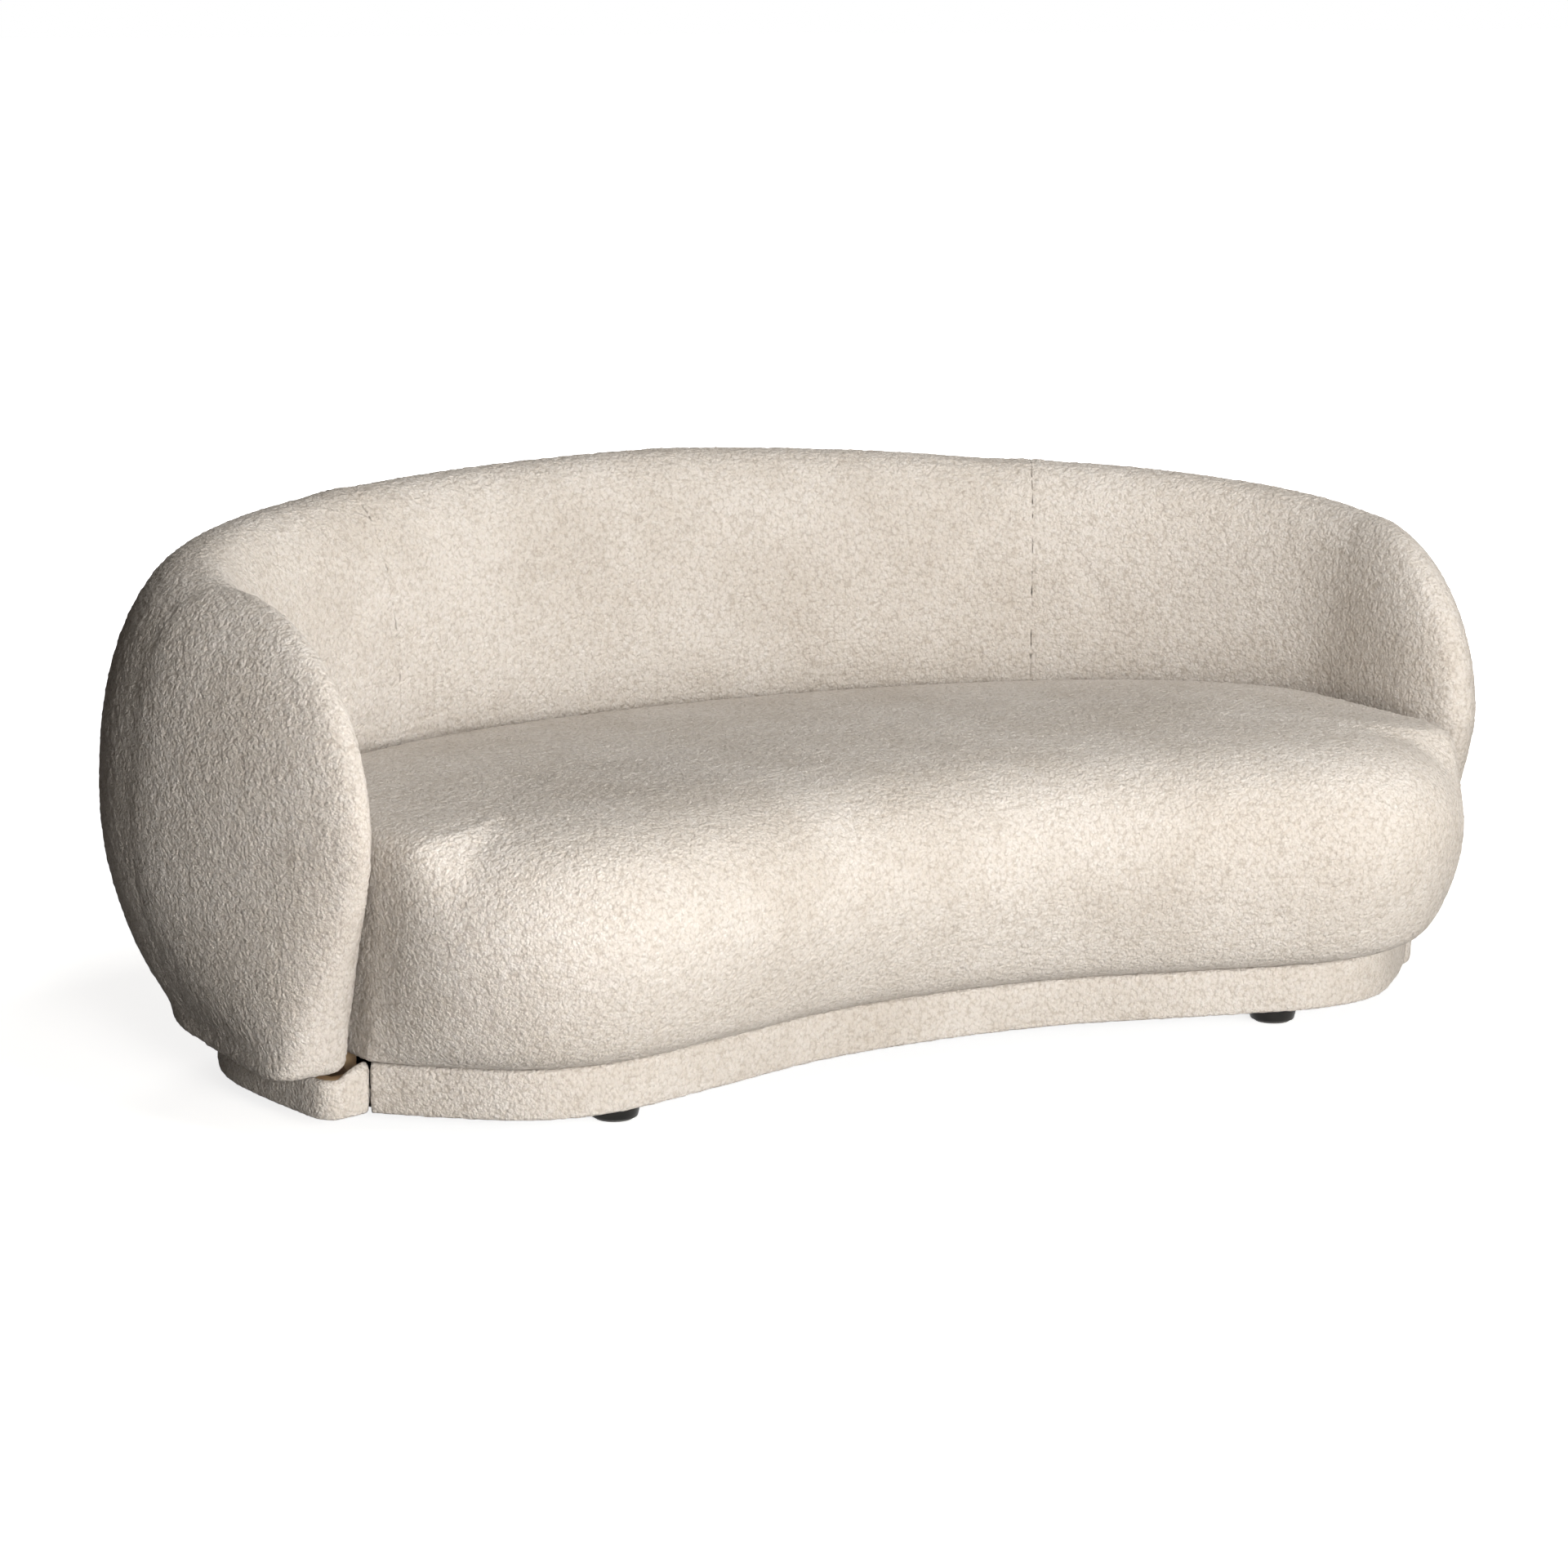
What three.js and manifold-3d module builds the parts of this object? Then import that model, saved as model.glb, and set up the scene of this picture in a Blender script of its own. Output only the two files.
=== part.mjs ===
// Curved three-seat sofa: a kidney-shaped tight seat inside one padded shell that is both back and arms,
// on a recessed upholstered plinth with four short turned wooden feet.
// Millimetres, +Z up, +X to the sitter's left when seen from the front, -Y to the front.
// All plan curves are laid out from the middle of the plinth's front edge, and the finished geometry is
// moved back so that the origin is the middle of the footprint on the floor.
import * as THREE from 'three';
import { mergeVertices } from 'three/addons/utils/BufferGeometryUtils.js';
import Module from 'manifold-3d';

const wasm = await Module();
wasm.setup();

// ---- overall ----
const DEPTH_CENTRE = 341;        // from the plinth's front middle to the middle of the depth
const GAP = 0.4;                 // clearance between pieces that touch in the real sofa

// ---- heights ----
const FLOOR = 0;
const PLINTH_BOTTOM = 26;
const FRAME_BOTTOM = 28.5;
const BOARD_THICK = 20;
const PLINTH_TOP = 79;           // of the shell's part
const SEAT_PLINTH_TOP = 95;
const SHELL_BOTTOM = 84;
const SEAT_BOTTOM = 98;
const BELLY = 400;               // height where the shell is thickest
const BACK_HEIGHT = 778;
// Height of the arm, how late the ridge falls to it, and how square the top of its outer side is.
const LEFT_ARM = { height: 700, power: 1.66, square: 2.25 };
const RIGHT_ARM = { height: 680, power: 1.15, square: 2 };
const RIDGE_DIP = { depth: 4, at: 34, reach: 9 };  // a shallow dip in the ridge, in mm and degrees
const SEAT_PANEL_TOP = 200;
const SEAT_FOAM_BASE = 226;
const TOPPER_BASE = 352;
const SEAT_CROWN = 417;

// ---- shell plan: two ellipses, inner face and outer face ----
const INNER = { centreY: 250, a: 885, b: 415 };
const OUTER = { centreY: 330, a: 1086, b: 580 };
const RIDGE_IN = 137;            // from the outer face to the ridge line
const OUTER_TUCK = 90;           // how far the outer face draws in at the bottom
const TUCK_END = 112;            // height where it stops drawing in
const TOP_FOAM = 48;
const INNER_FOAM = 55;
const OUTER_FOAM = 38;

// ---- the arms' fronts ----
// reach is from the shell's widest section forward to the nose at belly height, and retreat is how far the
// nose draws back at the bottom. tip places the nose across the arm and full shapes its inner corner. square
// shapes the outer corner and flare moves it sideways. The low values are what is added at the bottom.
const LEFT_NOSE = {
  reach: 310, retreat: 90, tip: 0.20, tipLow: 0.65, full: 0.72, fullLow: 0.28, lead: 50, leadLow: -8,
  square: 0.34, squareLow: 0.42, flare: 12, flareLow: -2, straight: 40,
};
const RIGHT_NOSE = {
  reach: 248, retreat: 104, tip: 0.25, tipLow: 0.16, full: 0.60, fullLow: 0.20, lead: 62, leadLow: -20,
  square: 0.30, squareLow: -0.10, flare: 0, flareLow: -40, straight: 15,
};
const NOSE_POWER = 2;

// ---- plinth ----
const PLINTH = { centreY: 250, a: 960, b: 510 };
const WRAP = 8;                  // padded fabric band on the plinth panels
const PANEL = 18;                // plywood panels

// ---- feet ----
const FOOT_R = 36;
const FOOT_TAPER = 4;
const GLIDE_THICK = 3;
const GLIDE_R = 26;
const BOLT_R = 4;
const BOLT_HOLE_R = 4.4;
const BOLT_BOTTOM = 12;
const FRONT_FOOT = { x: 552, y: -48 };
const REAR_FOOT = { x: 530, y: 612 };

// ---- springs ----
const WIRE_R = 1.9;
const SPRING_PITCH = 40;
const SPRING_SWING = 24;
const SPRING_RISE = 10;

const DEG = Math.PI / 180;
const V2 = (x, y) => new THREE.Vector2(x, y);
const V3 = (x, y, z) => new THREE.Vector3(x, y, z);

// ---- materials ----
const mat = (color, roughness, metalness = 0) =>
  new THREE.MeshStandardMaterial({ color, roughness, metalness });
const BOUCLE = mat(0xd9cdbb, 0.95);
const FOAM = mat(0xe9e2c4, 0.95);
const SOFT_FOAM = mat(0xf1efe6, 0.95);
const PLYWOOD = mat(0xc9a573, 0.7);
const PINE = mat(0xd2b07c, 0.7);
const LACQUER = mat(0x0d0c0b, 0.35);
const STEEL = mat(0x8f9296, 0.35, 1);
const FELT = mat(0x4b4a48, 0.95);
const LINING = mat(0x2a2a2b, 0.9);

const sofa = new THREE.Group();

function addPart(name, geometry, material) {
  geometry.translate(0, -DEPTH_CENTRE, 0);
  const mesh = new THREE.Mesh(geometry, material);
  mesh.name = name;
  sofa.add(mesh);
}

// Reverses the faces of a closed surface if its signed volume is negative.
function facingOut(positions, faces) {
  const a = V3(), b = V3(), c = V3();
  let volume = 0;
  for (const [i, j, k] of faces) {
    a.copy(positions[i]);
    b.copy(positions[j]);
    c.copy(positions[k]);
    volume += a.dot(b.cross(c));
  }
  return volume > 0 ? faces : faces.map(([i, j, k]) => [i, k, j]);
}

// Skins a list of equal-length closed rings and closes both ends.
// flat gives a ring point's plane coordinates.
function loft(rings, flat) {
  const n = rings[0].length;
  const positions = rings.flat();
  const faces = [];
  for (let r = 0; r + 1 < rings.length; r += 1) {
    for (let i = 0; i < n; i += 1) {
      const j = (i + 1) % n;
      const low = r * n;
      const high = low + n;
      faces.push([low + i, low + j, high + j], [low + i, high + j, high + i]);
    }
  }
  const cap = (ring, offset, ringOrder) => {
    const order = [...ring.keys()];
    const clockwise = THREE.ShapeUtils.area(ring.map(flat)) < 0;
    if (clockwise) order.reverse();
    const contour = order.map((i) => flat(ring[i]));
    for (const triangle of THREE.ShapeUtils.triangulateShape(contour, [])) {
      const face = triangle.map((i) => order[i] + offset);
      faces.push(clockwise === ringOrder ? face.reverse() : face);
    }
  };
  cap(rings[0], 0, false);
  cap(rings[rings.length - 1], (rings.length - 1) * n, true);
  const geometry = new THREE.BufferGeometry();
  const out = facingOut(positions, faces);
  const numbers = positions.flatMap((p) => [p.x, p.y, p.z]);
  geometry.setAttribute('position', new THREE.Float32BufferAttribute(numbers, 3));
  geometry.setIndex(out.flat());
  geometry.computeVertexNormals();
  return geometry;
}

const planXY = (p) => V2(p.x, p.y);

// A flat board: an outline in plan, with round holes, from height low to height high.
function board(outline, low, high, holes = []) {
  const shape = new THREE.Shape(outline);
  for (const hole of holes) {
    const path = new THREE.Path();
    path.absarc(hole.x, hole.y, hole.r, 0, 2 * Math.PI, true);
    shape.holes.push(path);
  }
  const geometry = new THREE.ExtrudeGeometry(shape, {
    depth: high - low, bevelEnabled: false, curveSegments: 10,
  });
  geometry.translate(0, 0, low);
  return geometry;
}

// Moves an open line sideways by d. Positive is to the right of its direction: outwards on lines that run
// from left to right along the front or from right to left round the back.
function offsetLine(line, d) {
  return line.map((p, i) => {
    const before = line[Math.max(i - 1, 0)];
    const after = line[Math.min(i + 1, line.length - 1)];
    const along = after.clone().sub(before).normalize();
    return V2(p.x + along.y * d, p.y - along.x * d);
  });
}

// The closed outline of the band between two offsets of one line.
function strip(line, near, far) {
  return [...offsetLine(line, near), ...offsetLine(line, far).reverse()];
}

function ellipseLine(ellipse, from, to, steps) {
  const line = [];
  for (let i = 0; i <= steps; i += 1) {
    const phi = (from + (to - from) * i / steps) * DEG;
    line.push(V2(ellipse.a * Math.sin(phi), ellipse.centreY + ellipse.b * Math.cos(phi)));
  }
  return line;
}

// A mirrored smooth line through points given for the right half, from the left end to the right end.
function mirroredSpline(halfPoints, divisions) {
  const left = halfPoints.slice(1).reverse().map(([x, y]) => V2(-x, y));
  const right = halfPoints.map(([x, y]) => V2(x, y));
  return new THREE.SplineCurve([...left, ...right]).getPoints(divisions);
}

// ---- the shell's cross-section ----
const armAt = (phi) => (phi < 0 ? LEFT_ARM : RIGHT_ARM);

function ridgeHeight(phi) {
  const arm = armAt(phi);
  const fall = (BACK_HEIGHT - arm.height) * (Math.abs(phi) / 90) ** arm.power;
  return BACK_HEIGHT - fall - RIDGE_DIP.depth * Math.exp(-(((phi - RIDGE_DIP.at) / RIDGE_DIP.reach) ** 2));
}

// The power of the curve from the outer face over to the ridge: 2 is an ellipse, and more is squarer.
const outerPower = (phi) => 2 + (armAt(phi).square - 2) * (phi / 90) ** 2;

// One cross-section of the shell at an angle phi in degrees:
// 0 at the middle of the back, 90 at the right arm.
function section(phi) {
  const r = phi * DEG;
  const inner = V2(INNER.a * Math.sin(r), INNER.centreY + INNER.b * Math.cos(r));
  const outer = V2(OUTER.a * Math.sin(r), OUTER.centreY + OUTER.b * Math.cos(r));
  const thick = inner.distanceTo(outer);
  const along = outer.clone().sub(inner).normalize();
  const at = (offset, z) => V3(inner.x + along.x * offset, inner.y + along.y * offset, z);
  return { thick, height: ridgeHeight(phi), power: outerPower(phi), at, inner, along };
}

const roundIn = (u, power) => 1 - (1 - Math.min(u, 1) ** power) ** (1 / power);
const tuck = (z) => OUTER_TUCK * THREE.MathUtils.clamp((BELLY - z) / (BELLY - TUCK_END), 0, 1) ** 2;
const innerFace = (s, z) =>
  (s.thick - RIDGE_IN) * roundIn(Math.max(z - BELLY, 0) / (s.height - BELLY), 2.4);
const outerFace = (s, z) =>
  s.thick - (z < BELLY ? tuck(z) : RIDGE_IN * roundIn((z - BELLY) / (s.height - BELLY), s.power));

const RISE = [0, 22, 42, 60, 74];
const LOW_HEIGHTS = [SHELL_BOTTOM, TUCK_END, 190, 280];

// Heights from the belly up to a top, closer together near the top.
const upperHeights = (top) => RISE.map((angle) => BELLY + (top - BELLY) * Math.sin(angle * DEG));

function innerFoamRing(phi) {
  const s = section(phi);
  const ridge = s.thick - RIDGE_IN;
  const foamTop = s.height - TOP_FOAM;
  const frameSide = (z) => INNER_FOAM + (ridge - INNER_FOAM) * roundIn((z - BELLY) / (foamTop - BELLY), 2.4);
  const ring = LOW_HEIGHTS.map((z) => s.at(0, z));
  for (const z of upperHeights(s.height)) ring.push(s.at(innerFace(s, z), z));
  ring.push(s.at(ridge, s.height));
  ring.push(s.at(ridge, foamTop));
  for (const z of upperHeights(foamTop).reverse()) ring.push(s.at(frameSide(z), z));
  for (const z of [...LOW_HEIGHTS].reverse()) ring.push(s.at(INNER_FOAM, z));
  return ring;
}

function outerFoamRing(phi) {
  const s = section(phi);
  const ridge = s.thick - RIDGE_IN + GAP;
  const foamTop = s.height - TOP_FOAM;
  const frameSide = (z) => s.thick - OUTER_FOAM
    - (z < BELLY ? tuck(z) : (RIDGE_IN - OUTER_FOAM) * roundIn((z - BELLY) / (foamTop - BELLY), s.power));
  const ring = LOW_HEIGHTS.map((z) => s.at(outerFace(s, z), z));
  for (const z of upperHeights(s.height)) ring.push(s.at(outerFace(s, z), z));
  ring.push(s.at(ridge, s.height - GAP));
  ring.push(s.at(ridge, foamTop));
  for (const z of upperHeights(foamTop).reverse()) ring.push(s.at(frameSide(z), z));
  for (const z of [...LOW_HEIGHTS].reverse()) ring.push(s.at(frameSide(z), z));
  return ring;
}

// A foam piece of the shell between two angles, capped on its two end sections.
function shellPiece(ringAt, from, to, steps) {
  const half = 0.03;             // degrees left open at each butt joint
  const rings = [];
  for (let i = 0; i <= steps; i += 1) {
    rings.push(ringAt(from + half + (to - from - 2 * half) * i / steps));
  }
  const first = rings[0];
  const origin = first[0];
  const across = first[first.length - 1].clone().sub(origin).normalize();
  return loft(rings, (p) => V2(p.clone().sub(origin).dot(across), p.z));
}

// ---- the arm's front: plan rings stacked upwards ----
function armRing(side, z) {
  const shape = side < 0 ? LEFT_NOSE : RIGHT_NOSE;
  const height = ridgeHeight(side * 90);
  const s = { ...section(90), height, power: outerPower(side * 90) };
  const start = s.at(innerFace(s, z), z);
  const end = s.at(outerFace(s, z), z);
  const climb = Math.max(z - BELLY, 0) / (height - BELLY);
  const low = Math.max(BELLY - z, 0) / (BELLY - SHELL_BOTTOM);
  const reach = shape.reach * (1 - climb ** NOSE_POWER) ** (1 / NOSE_POWER) - shape.retreat * low ** 1.2;
  const noseY = start.y - reach;
  const width = end.x - start.x;
  const fade = z < BELLY ? 1 : width / 201;
  const noseX = start.x + width * (shape.tip + shape.tipLow * low ** 2);
  const nose = V2(noseX, noseY);
  const square = shape.square + shape.squareLow * low ** 2;
  const full = shape.full + shape.fullLow * low ** 2;
  const inside = new THREE.CubicBezierCurve(
    V2(start.x, start.y - GAP),
    V2(start.x, THREE.MathUtils.lerp(start.y, noseY, full)),
    V2(Math.max(noseX - 100 * fade, start.x), noseY),
    nose,
  );
  const lead = (shape.lead + shape.leadLow * low) * fade;
  const flare = shape.flare * fade + shape.flareLow * low ** 2;
  const straight = shape.straight * fade * (1 - 0.8 * low);
  const outside = new THREE.CubicBezierCurve(
    nose,
    V2(noseX + lead, noseY),
    V2(end.x + flare, THREE.MathUtils.lerp(end.y, noseY, square)),
    V2(end.x, end.y - straight),
  );
  const foot = V2(end.x, end.y - GAP);
  const line = [...inside.getPoints(7), ...outside.getPoints(9).slice(1), foot];
  return line.map((p) => V3(side * p.x, p.y, z));
}

const NOSE_TOP = 0.985;
const NOSE_LEVELS = [SHELL_BOTTOM, 125, 160, 200, 250, 300, 350];

function armFoam(side) {
  const climb = ridgeHeight(side * 90) - BELLY;
  const rise = [0, 15, 30, 44, 56, 66, 74].map((a) => BELLY + climb * Math.sin(a * DEG));
  const heights = [...NOSE_LEVELS, ...rise, BELLY + climb * NOSE_TOP];
  return loft(heights.map((z) => armRing(side, z)), planXY);
}

// ---- arm panel: an upright plywood plate that stiffens the arm, rounded like the arm's front ----
const ARM_PANEL = { x: 955, thick: 18, base: 130, reach: 90, top: 618, rear: 262 };

// With grow above zero the outline is the slot for the panel, open through the foam's underside.
function armPanelOutline(grow) {
  const foot = grow > 0 ? SHELL_BOTTOM - 10 : ARM_PANEL.base;
  const points = [V2(ARM_PANEL.rear + grow, foot)];
  const top = ARM_PANEL.top + grow;
  const reach = ARM_PANEL.reach + grow;
  for (let i = 0; i <= 7; i += 1) {
    const a = i / 7 * 90 * DEG;
    const y = 250 - reach * Math.cos(a) ** (2 / NOSE_POWER);
    points.push(V2(y, ARM_PANEL.base + (top - ARM_PANEL.base) * Math.sin(a) ** (2 / NOSE_POWER)));
  }
  points.push(V2(ARM_PANEL.rear + grow, top));
  if (grow > 0) points.splice(1, 0, V2(250 - reach, foot));
  return points;
}

function armPanel(side, grow = 0) {
  const thick = ARM_PANEL.thick + 2 * grow;
  const geometry = new THREE.ExtrudeGeometry(new THREE.Shape(armPanelOutline(grow)), {
    depth: thick, bevelEnabled: false,
  });
  // The outline's first axis becomes Y and its second becomes Z.
  geometry.rotateX(Math.PI / 2);
  geometry.rotateZ(Math.PI / 2);
  geometry.translate(side * ARM_PANEL.x - thick / 2, 0, 0);
  return geometry;
}

// ---- solids for cutting ----
function toSolid(geometry) {
  const bare = geometry.clone();
  bare.deleteAttribute('normal');
  if (bare.attributes.uv) bare.deleteAttribute('uv');
  const merged = mergeVertices(bare, 1e-4);
  return new wasm.Manifold(new wasm.Mesh({
    numProp: 3,
    vertProperties: new Float32Array(merged.attributes.position.array),
    triVerts: new Uint32Array(merged.index.array),
  }));
}

function fromSolid(solid) {
  const mesh = solid.getMesh();
  const geometry = new THREE.BufferGeometry();
  geometry.setAttribute('position', new THREE.BufferAttribute(mesh.vertProperties, 3));
  geometry.setIndex(new THREE.BufferAttribute(mesh.triVerts, 1));
  geometry.computeVertexNormals();
  return geometry;
}

const cut = (body, tool) => fromSolid(toSolid(body).subtract(toSolid(tool)));

// ---- the seat ----
const SEAT_BELLY = [
  [0, -113], [192, -129], [388, -179], [599, -228], [715, -211], [812, -151], [864, -78], [880, 0],
];
const SEAT_LIP = [[0, -14], [200, -30], [400, -85], [603, -132], [714, -112], [816, -34], [880, 30]];
const SEAT_TUCK = [[98, 1], [103, 0.86], [111, 0.7], [138, 0.44], [188, 0.18], [235, 0.04], [270, 0]];
const SEAT_FRONT_SWELL = [[270, 0], [310, 5], [352, 26], [378, 50], [396, 82], [408, 120], [417, 190]];
const SEAT_SIDE_SWELL = [[270, 0], [352, 0], [385, 1], [398, 7], [410, 26], [417, 110]];

function alongTable(table, z) {
  let i = 0;
  while (i + 2 < table.length && z > table[i + 1][0]) i += 1;
  const t = (z - table[i][0]) / (table[i + 1][0] - table[i][0]);
  return THREE.MathUtils.lerp(table[i][1], table[i + 1][1], THREE.MathUtils.clamp(t, 0, 1));
}

// The seat's widest outline, anticlockwise from the left end of its front edge.
const SEAT_CLEAR = 3;
const FRONT_DIVISIONS = 36;
const seatFront = mirroredSpline(SEAT_BELLY, FRONT_DIVISIONS);
const seatLip = mirroredSpline(SEAT_LIP, FRONT_DIVISIONS);
const SEAT_REAR = { centreY: INNER.centreY, a: INNER.a - SEAT_CLEAR, b: INNER.b - SEAT_CLEAR };
const seatRear = ellipseLine(SEAT_REAR, 90, -90, 26);

// How much a front point follows the swell of the front edge: all of it, fading out where it meets the arms.
const frontShare = (p) => THREE.MathUtils.smoothstep(880 - Math.abs(p.x), 0, 60);

// Below its belly the front tucks back to the lip, which sits just outside the plinth.
function seatFrontAt(z) {
  if (z < SEAT_TUCK.at(-1)[0]) {
    const tuckShare = alongTable(SEAT_TUCK, z);
    return seatFront.map((p, i) => p.clone().lerp(seatLip[i], tuckShare));
  }
  const swell = alongTable(SEAT_FRONT_SWELL, z);
  const side = alongTable(SEAT_SIDE_SWELL, z);
  const inset = offsetLine(seatFront, -1);
  return seatFront.map((p, i) => {
    const inward = inset[i].clone().sub(p);
    const share = frontShare(p);
    return p.clone().addScaledVector(inward, share * swell + (1 - share) * side);
  });
}

function seatRing(z) {
  const side = alongTable(SEAT_SIDE_SWELL, z);
  const rear = offsetLine(seatRear, -side);
  return [...seatFrontAt(z), ...rear].map((p) => V3(p.x, p.y, z));
}

function seatLayer(heights) {
  return loft(heights.map(seatRing), planXY);
}

// Foam strip that hangs in front of the seat's front panel, from the plinth up to the core foam.
const PLINTH_FRONT = [[0, 0], [200, -15], [400, -70], [600, -117], [705, -97], [805, -21], [868, 40]];
const plinthFront = mirroredSpline(PLINTH_FRONT, FRONT_DIVISIONS);

function seatFrontFoam() {
  const back = offsetLine(plinthFront, -4);
  back[0] = V2(-878, 78);
  back[back.length - 1] = V2(878, 78);
  const rings = [SEAT_BOTTOM, 103, 111, 138, 188, SEAT_FOAM_BASE - GAP].map((z) => {
    const line = [...seatFrontAt(z), ...back.slice().reverse()];
    return line.map((p) => V3(p.x, p.y, z));
  });
  return loft(rings, planXY);
}

// ---- plinth lines ----
// The front corners follow the arms: the left arm reaches further forward, so its corner does too.
const LEFT_CORNER = [
  [871, 42], [900, 32], [921, 30], [938, 39], [946, 58], [951, 98], [956, 150], [959, 205],
];
const RIGHT_CORNER = [[871, 42], [889, 52], [905, 73], [921, 105], [937, 150], [951, 203]];

function shellPlinthLine(side, toPhi) {
  const line = (side < 0 ? LEFT_CORNER : RIGHT_CORNER).map(([x, y]) => V2(x, y));
  line.push(...ellipseLine(PLINTH, 90, toPhi, 6));
  return line.map((p) => V2(side * p.x, p.y));
}

// A band beside the plinth line, always measured inwards, for either side of the sofa.
function shellStrip(side, toPhi, near, far) {
  return strip(shellPlinthLine(side, toPhi), -side * near, -side * far);
}

const rearPlinth = ellipseLine(PLINTH, 49.2, -49.2, 18);

// ---- rails and ribs of the shell ----
function railRing(phi, low, high, near, far) {
  const s = section(phi);
  return [s.at(near, low(s)), s.at(far, low(s)), s.at(far, high(s)), s.at(near, high(s))];
}

function sweptRail(low, high, near, far, reach, steps) {
  const rings = [];
  for (let i = 0; i <= steps; i += 1) {
    rings.push(railRing(-reach + 2 * reach * i / steps, low, high, near, far));
  }
  const origin = rings[0][0];
  const across = rings[0][1].clone().sub(origin).normalize();
  return loft(rings, (p) => V2(p.clone().sub(origin).dot(across), p.z));
}

const BOTTOM_RAIL = { low: PLINTH_TOP + 2, high: PLINTH_TOP + 22, near: 60, far: 92 };
const TOP_RAIL = { below: 122, thick: 22, near: 84, far: 112 };
const RIB_THICK = 18;

function shellRib(phi) {
  const s = section(phi);
  const top = s.height - TOP_RAIL.below - 3;
  const base = BOTTOM_RAIL.high + GAP;
  const outline = [V2(62, base), V2(91, base), V2(114, 260), V2(114, top), V2(86, top), V2(62, 420)];
  const shape = new THREE.Shape(outline);
  const geometry = new THREE.ExtrudeGeometry(shape, { depth: RIB_THICK, bevelEnabled: false });
  geometry.rotateX(Math.PI / 2);
  geometry.translate(0, RIB_THICK / 2, 0);
  geometry.rotateZ(Math.atan2(s.along.y, s.along.x));
  geometry.translate(s.inner.x, s.inner.y, 0);
  return geometry;
}

// ---- feet ----
function foot() {
  const top = FRAME_BOTTOM - GAP;
  const profile = [
    V2(0, GLIDE_THICK + GAP), V2(FOOT_R - FOOT_TAPER - 2, GLIDE_THICK + GAP), V2(FOOT_R - FOOT_TAPER, 6),
    V2(FOOT_R, top - 2), V2(FOOT_R - 1, top), V2(BOLT_R + GAP, top),
    V2(BOLT_R + GAP, BOLT_BOTTOM - GAP), V2(0, BOLT_BOTTOM - GAP),
  ];
  return new THREE.LatheGeometry(profile, 24).rotateX(Math.PI / 2);
}

function glide() {
  const profile = [
    V2(0, 0), V2(GLIDE_R - 1, FLOOR), V2(GLIDE_R, 1), V2(GLIDE_R, GLIDE_THICK), V2(0, GLIDE_THICK),
  ];
  return new THREE.LatheGeometry(profile, 20).rotateX(Math.PI / 2);
}

function footBolt() {
  const top = FRAME_BOTTOM + BOARD_THICK + 2;
  const profile = [
    V2(0, BOLT_BOTTOM), V2(BOLT_R - 1, BOLT_BOTTOM), V2(BOLT_R, BOLT_BOTTOM + 1), V2(BOLT_R, top - 1),
    V2(BOLT_R - 1, top), V2(0, top),
  ];
  return new THREE.LatheGeometry(profile, 8).rotateX(Math.PI / 2);
}

// ---- a zigzag spring from the front panel to the rear panel ----
function zigzagSpring(x) {
  const nearer = (best, p) => (Math.abs(p.x - x) < Math.abs(best.x - x) ? p : best);
  const frontY = plinthFront.reduce(nearer).y + 14;
  const rearY = INNER.centreY + (INNER.b - 20) * Math.sqrt(1 - (x / (INNER.a - 20)) ** 2);
  const length = rearY - frontY;
  const waves = Math.round(length / SPRING_PITCH);
  const z = SEAT_PANEL_TOP + WIRE_R + GAP;
  const points = [];
  for (let i = 0; i <= 4 * waves; i += 1) {
    const t = i / (4 * waves);
    const swing = SPRING_SWING * Math.sin(i * Math.PI / 2);
    points.push(V3(x + swing, frontY + t * length, z + SPRING_RISE * Math.sin(Math.PI * t)));
  }
  const wire = new THREE.Shape();
  wire.absarc(0, 0, WIRE_R, 0, 2 * Math.PI, false);
  return new THREE.ExtrudeGeometry(wire, {
    steps: 4 * waves, curveSegments: 3, bevelEnabled: false, extrudePath: new THREE.CatmullRomCurve3(points),
  });
}

// ================= assembly =================

// seat upholstery
const TOPPER_LEVELS = [TOPPER_BASE + GAP, 365, 378, 388, 396, 403, 409, SEAT_CROWN];
addPart('seat_topper_foam', seatLayer(TOPPER_LEVELS), SOFT_FOAM);
addPart('seat_core_foam', seatLayer([SEAT_FOAM_BASE, 270, 310, TOPPER_BASE]), FOAM);
addPart('seat_front_foam', seatFrontFoam(), FOAM);

// shell upholstery
const INNER_PIECES = [
  ['left_corner', -90, -54], ['left', -54, -18], ['centre', -18, 18],
  ['right', 18, 54], ['right_corner', 54, 90],
];
for (const [name, from, to] of INNER_PIECES) {
  addPart(`inner_foam_${name}`, shellPiece(innerFoamRing, from, to, 6), FOAM);
}
for (const [name, from, to] of [['left', -90, -30], ['centre', -30, 30], ['right', 30, 90]]) {
  addPart(`outer_foam_${name}`, shellPiece(outerFoamRing, from, to, 10), SOFT_FOAM);
}
for (const [name, side] of [['left', -1], ['right', 1]]) {
  addPart(`arm_foam_${name}`, cut(armFoam(side), armPanel(side, 1)), FOAM);
  addPart(`arm_panel_${name}`, armPanel(side), PLYWOOD);
}

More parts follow.
